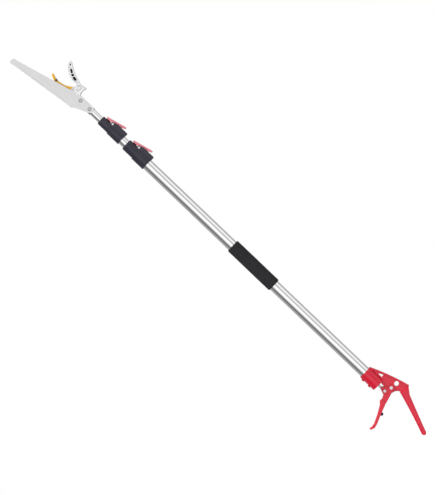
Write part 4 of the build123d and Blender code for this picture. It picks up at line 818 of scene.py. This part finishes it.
def panel_colour(tree, where):
    """White panels with grey gaps round the tool, a gap above them, a white top and a grey foot."""
    split = place(tree, "ShaderNodeSeparateXYZ", {"Vector": where})
    toward = math_node(tree, "MULTIPLY", split.outputs["Y"], second=-1.0)
    turn = math_node(tree, "ARCTAN2", split.outputs["X"], toward)
    share = place(tree, "ShaderNodeMapRange", {"Value": turn, "From Min": -math.pi, "From Max": math.pi})
    panels = place(tree, "ShaderNodeValToRGB", {"Fac": share.outputs["Result"]})
    elements = panels.color_ramp.elements
    while len(elements) < len(PANEL_STOPS):
        elements.new(0.5)
    for element, (angle, level) in zip(elements, PANEL_STOPS):
        element.position = (angle + 180) / 360
        element.color = (level, level, level, 1.0)
    lit = panels.outputs["Color"]
    for height, tone in ((GAP_HEIGHT, GAP_GREY), (TOP_HEIGHT, WHITE), (FOOT_HEIGHT, FOOT_GREY)):
        lit = blend_colour(tree, ramp(tree, split.outputs["Z"], *height), lit, tone)
    return lit


def studio_world(light, mirrored):
    """Panels at one strength on the tool and another in its metal; the camera sees plain white."""
    world = bpy.data.worlds.new("white_studio")
    world.use_nodes = True
    tree = world.node_tree
    tree.nodes.clear()
    where = tree.nodes.new("ShaderNodeTexCoord").outputs["Generated"]
    path = tree.nodes.new("ShaderNodeLightPath")
    strength = place(tree, "ShaderNodeMapRange", {
        "Value": path.outputs["Is Glossy Ray"], "To Min": light, "To Max": mirrored})
    studio = place(tree, "ShaderNodeBackground", {
        "Color": panel_colour(tree, where), "Strength": strength.outputs["Result"]})
    plain = place(tree, "ShaderNodeBackground", {"Color": WHITE, "Strength": 1.0})
    seen = math_node(tree, "MAXIMUM", path.outputs["Is Camera Ray"], path.outputs["Is Transmission Ray"])
    chosen = place(tree, "ShaderNodeMixShader", {0: seen, 1: studio.outputs[0], 2: plain.outputs[0]})
    end = tree.nodes.new("ShaderNodeOutputWorld")
    tree.links.new(chosen.outputs[0], end.inputs["Surface"])
    bpy.context.scene.world = world


def floor_finish():
    """A pale floor, lifted towards white where it is looked at or mirrored, and fading out at its rim."""
    material, tree, shader, where = blank_finish("pale_floor")
    grain = use_group(tree, "Fine Grain", {
        "Vector": where, "Scale": 30.0, "Low": FLOOR_GLOSS[0], "High": FLOOR_GLOSS[1]})
    path = tree.nodes.new("ShaderNodeLightPath")
    seen = math_node(tree, "MAXIMUM", path.outputs["Is Camera Ray"], path.outputs["Is Transmission Ray"])
    seen = math_node(tree, "MAXIMUM", seen, path.outputs["Is Glossy Ray"])
    lift = math_node(tree, "MULTIPLY", seen, FLOOR_LIFT)
    far = place(tree, "ShaderNodeVectorMath", {0: where}, operation="LENGTH")
    solid = ramp(tree, far.outputs["Value"], low=FADE_END, high=FADE_START)
    fill_shader(tree, shader, {
        "Base Color": FLOOR_GREY, "Roughness": grain.outputs["Roughness"], "Specular IOR Level": 0.0,
        "Emission Color": WHITE, "Emission Strength": lift, "Alpha": solid})
    return material


def floor_disc(level):
    """A round floor under the tool: rings of points on a flat disc, closer together towards its hub."""
    rings = np.linspace(0.0, 1.0, FLOOR_RINGS)[:, None]
    turn = np.linspace(0.0, FULL_TURN, FLOOR_SPOKES, endpoint=False)[None, :]
    reach = FLOOR_RADIUS * rings ** RING_POWER + FLOOR_HUB
    x, y = reach * np.cos(turn), reach * np.sin(turn)
    points = np.stack([x, y, np.full_like(x, level)], axis=-1)
    floor = grid_object("floor", points, floor_finish(), solid=False)


# Operators

class POLESAW_OT_tubes(bpy.types.Operator):
    """Finish the pole's tubes, bushes and pull rods"""

    bl_idname = "polesaw.tubes"
    bl_label = "Tubes and rods"

    def execute(self, context):
        finish = context.scene.polesaw_finish
        tube = bright_metal("drawn_tube", colour(finish.tube), finish, DRAWN_GLOSS, ALONG_TUBE,
                            scale=700.0, depth=0.05, tone=0.05)
        rod = bright_metal("rod_tube", ROD_METAL, finish, SATIN_GLOSS, ALONG_TUBE)
        steel = bright_metal("plated_steel", PLATED_STEEL, finish, PLATED_GLOSS, ALONG_POLE)
        plastic = moulded("guide_plastic", colour(finish.plastic), RUBBED_GUIDE, finish)
        dress([
            (tube, "base_tube mid_tube top_tube"),
            (rod, "mid_rod top_rod"),
            (steel, "base_rod base_rod_end spring_collar rod_pin"),
            (plastic, "base_tube_bush mid_tube_bush base_tube_plug mid_tube_glide top_tube_glide"
                      " mid_rod_collet top_rod_collet"),
        ])
        return {"FINISHED"}


class POLESAW_OT_handle(bpy.types.Operator):
    """Finish the handle casting, the trigger and their fasteners"""

    bl_idname = "polesaw.handle"
    bl_label = "Handle and trigger"

    def execute(self, context):
        finish = context.scene.polesaw_finish
        # Its dark red rims, three edge radii wide, are painted shade along the casting's edges
        red = painted("casting_red", colour(finish.red), RED_SHADE_RIM, RED_DIRT, finish, reach=3.0, amount=0.6)
        steel = bright_metal("handle_steel", HANDLE_STEEL, finish, PIN_GLOSS, ALONG_PIN)
        rubber = moulded("black_rubber", BUMPER_BLACK, RUBBED_RUBBER, finish, RUBBER_GLOSS)
        dress([
            (red, "handle_casting trigger_lever socket_screws"),
            (steel, "trigger_pivot_pin"),
        ])
        bumper = grid_object("bumper_dome", bumper_points(context.scene.polesaw_bumper), rubber)
        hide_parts("trigger_bumper")
        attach(bumper, "trigger")
        return {"FINISHED"}


class POLESAW_OT_locks(bpy.types.Operator):
    """Finish the two tube locks"""

    bl_idname = "polesaw.locks"
    bl_label = "Tube locks"

    def execute(self, context):
        finish = context.scene.polesaw_finish
        housing = moulded("lock_black", colour(finish.plastic), RUBBED_LOCK, finish)
        # A pink face, partly painted highlight, with dark red rims of painted shade
        lever = painted("lever_red", colour(finish.lever), LEVER_SHADE_RIM, LEVER_DIRT, finish,
                        SATIN_GLOSS, coat=0.2, peel=1200.0)
        steel = bright_metal("lock_steel", PLATED_STEEL, finish, SATIN_GLOSS, ALONG_PIN)
        rubber = moulded("brake_rubber", BRAKE_BLACK, RUBBED_RUBBER, finish, RUBBER_GLOSS)
        dress([
            (housing, "lower_lock_housing upper_lock_housing"),
            (lever, "lower_lock_lever upper_lock_lever"),
            (steel, "lower_lock_pin upper_lock_pin"),
            (rubber, "lower_brake_pad upper_brake_pad"),
        ])
        return {"FINISHED"}


class POLESAW_OT_head(bpy.types.Operator):
    """Finish the neck, the head casting and the two jaws"""

    bl_idname = "polesaw.head"
    bl_label = "Head and jaws"

    def execute(self, context):
        finish = context.scene.polesaw_finish
        casting = polished("polished_casting", BARE_CASTING, finish)
        jaw = polished("polished_jaw", BARE_CASTING, finish, pockets=True)
        yellow = painted("jaw_yellow", colour(finish.yellow), YELLOW_RIM, YELLOW_DIRT, finish,
                         YELLOW_GLOSS, peel=800.0)
        neck = painted("neck_grey", colour(finish.neck), NECK_RIM, NECK_DIRT, finish,
                       DULL_GLOSS, coat=0.1, peel=1500.0)
        dark = bright_metal("dark_steel", DARK_STEEL, finish, DULL_GLOSS, ALONG_POLE)
        steel = bright_metal("bolt_steel", BOLT_STEEL, finish, BOLT_GLOSS, ALONG_PIN)
        blade = bright_metal("edge_steel", EDGE_STEEL, finish, SATIN_GLOSS, ALONG_X, scale=700.0)
        dress([
            (casting, "head_casting"),
            (jaw, "moving_jaw"),
            (yellow, "fixed_jaw"),
            (neck, "neck_ferrule"),
            (dark, "top_rod_fork fixed_jaw_screws"),
            (steel, "jaw_pivot_bolt jaw_pivot_nut fork_pin blade_rivets"),
            (blade, "counter_blade"),
        ])
        points = serrated_points(context.scene.polesaw_edge)
        edge = grid_object("serrated_blade", points, blade, smooth=False)
        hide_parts("cutting_blade")
        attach(edge, "moving_jaw")
        return {"FINISHED"}


class POLESAW_OT_saw(bpy.types.Operator):
    """Finish the saw blade and its fasteners"""

    bl_idname = "polesaw.saw"
    bl_label = "Saw"

    def execute(self, context):
        finish = context.scene.polesaw_finish
        blade = saw_finish(finish, context.scene.polesaw_saw)
        steel = bright_metal("screw_steel", SCREW_STEEL, finish, PIN_GLOSS, ALONG_PIN)
        dark = bright_metal("washer_steel", WASHER_STEEL, finish, DULL_GLOSS, ALONG_PIN)
        dress([
            (blade, "saw_blade"),
            (steel, "saw_screws"),
            (dark, "saw_washers"),
        ])
        return {"FINISHED"}


class POLESAW_OT_grip(bpy.types.Operator):
    """Make the foam grip"""

    bl_idname = "polesaw.grip"
    bl_label = "Foam grip"

    def execute(self, context):
        material = foam_finish(context.scene.polesaw_finish)
        grip = grid_object("foam_sleeve", sleeve_points(context.scene.polesaw_grip), material, ring=True)
        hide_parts("foam_grip")
        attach(grip, "pole_base")
        return {"FINISHED"}


class POLESAW_OT_springs(bpy.types.Operator):
    """Wind the return spring and the two lock springs"""

    bl_idname = "polesaw.springs"
    bl_label = "Springs"

    def execute(self, context):
        settings = context.scene.polesaw_springs
        finish = context.scene.polesaw_finish
        wire = bright_metal("spring_wire", SPRING_STEEL, finish, WIRE_GLOSS, ALL_ROUND)
        out, side, up = (1.0, 0.0, 0.0), (0.0, 1.0, 0.0), (0.0, 0.0, 1.0)
        base = (0.0, 0.0, RETURN_LOW[2])
        length = RETURN_HIGH[2] - RETURN_LOW[2]
        mean = (RETURN_HIGH[0] - RETURN_LOW[0] - settings.return_wire) / 2
        points = coil_points(base, up, out, mean, settings.return_wire / 2, length, settings.return_turns)
        spring_piece("return_coil", "return_spring", "pole_base", points, wire)
        locks = [
            ("lower", LOWER_LOW, LOWER_HIGH, "pole_base"),
            ("upper", UPPER_LOW, UPPER_HIGH, "mid_section"),
        ]
        for label, low, high, body in locks:
            base = (low[0], 0.0, (low[2] + high[2]) / 2)
            length = high[0] - low[0]
            mean = (high[2] - low[2] - settings.lock_wire) / 2
            points = coil_points(base, out, side, mean, settings.lock_wire / 2, length, settings.lock_turns)
            spring_piece(f"{label}_lock_coil", f"{label}_lock_spring", body, points, wire)
        return {"FINISHED"}


class POLESAW_OT_stage(bpy.types.Operator):
    """Set up the camera, the lamps, the white studio and the floor"""

    bl_idname = "polesaw.stage"
    bl_label = "Stage"

    def execute(self, context):
        scene = context.scene
        settings = scene.polesaw_stage
        scene.view_settings.view_transform = "Standard"
        roll = settings.roll
        right = Vector((math.cos(roll), 0.0, -math.sin(roll)))
        up = Vector((math.sin(roll), 0.0, math.cos(roll)))
        back = Vector((0.0, -1.0, 0.0))
        aim = Vector(settings.aim)
        lens = bpy.data.cameras.new("camera")
        lens.sensor_fit = "VERTICAL"
        lens.sensor_height = SENSOR_HEIGHT
        lens.lens = SENSOR_HEIGHT * settings.distance / settings.field
        lens.clip_end = VIEW_DEPTH
        camera = bpy.data.objects.new("camera", lens)
        axes = Matrix((right, up, back)).transposed().to_4x4()
        camera.matrix_world = Matrix.Translation(aim + back * settings.distance) @ axes
        scene.collection.objects.link(camera)
        scene.camera = camera
        aimed_lamp("key_lamp", KEY_FROM, settings.key, aim)
        aimed_lamp("back_lamp", BACK_FROM, settings.back, aim)
        studio_world(settings.studio, settings.panels)
        floor_disc(CAD_BOX[0][2] - FLOOR_DROP)
        return {"FINISHED"}


class POLESAW_PT_panel(bpy.types.Panel):
    """Lists the pole saw's pieces and settings"""

    bl_idname = "POLESAW_PT_panel"
    bl_label = "Pole Saw"
    bl_space_type = "VIEW_3D"
    bl_region_type = "UI"
    bl_category = "Pole Saw"

    def draw(self, context):
        layout = self.layout
        for operator in OPERATORS:
            layout.operator(operator.bl_idname)
        for label, settings in SETTINGS.items():
            box = layout.box()
            group = getattr(context.scene, label)
            for key in settings.__annotations__:
                box.prop(group, key)


OPERATORS = (
    POLESAW_OT_tubes,
    POLESAW_OT_handle,
    POLESAW_OT_locks,
    POLESAW_OT_head,
    POLESAW_OT_saw,
    POLESAW_OT_grip,
    POLESAW_OT_springs,
    POLESAW_OT_stage,
)
SETTINGS = {
    "polesaw_finish": FinishSettings,
    "polesaw_grip": GripSettings,
    "polesaw_springs": SpringSettings,
    "polesaw_saw": SawSettings,
    "polesaw_edge": EdgeSettings,
    "polesaw_bumper": BumperSettings,
    "polesaw_stage": StageSettings,
}


def register():
    for settings in SETTINGS.values():
        bpy.utils.register_class(settings)
    for kind in OPERATORS + (POLESAW_PT_panel,):
        bpy.utils.register_class(kind)
    for label, settings in SETTINGS.items():
        setattr(bpy.types.Scene, label, PointerProperty(type=settings))


def unregister():
    for label in SETTINGS:
        delattr(bpy.types.Scene, label)
    for kind in reversed(tuple(SETTINGS.values()) + OPERATORS + (POLESAW_PT_panel,)):
        bpy.utils.unregister_class(kind)


def main():
    register()
    bpy.ops.polesaw.tubes()
    bpy.ops.polesaw.handle()
    bpy.ops.polesaw.locks()
    bpy.ops.polesaw.head()
    bpy.ops.polesaw.saw()
    bpy.ops.polesaw.grip()
    bpy.ops.polesaw.springs()
    bpy.ops.polesaw.stage()


if __name__ == "__main__":
    main()
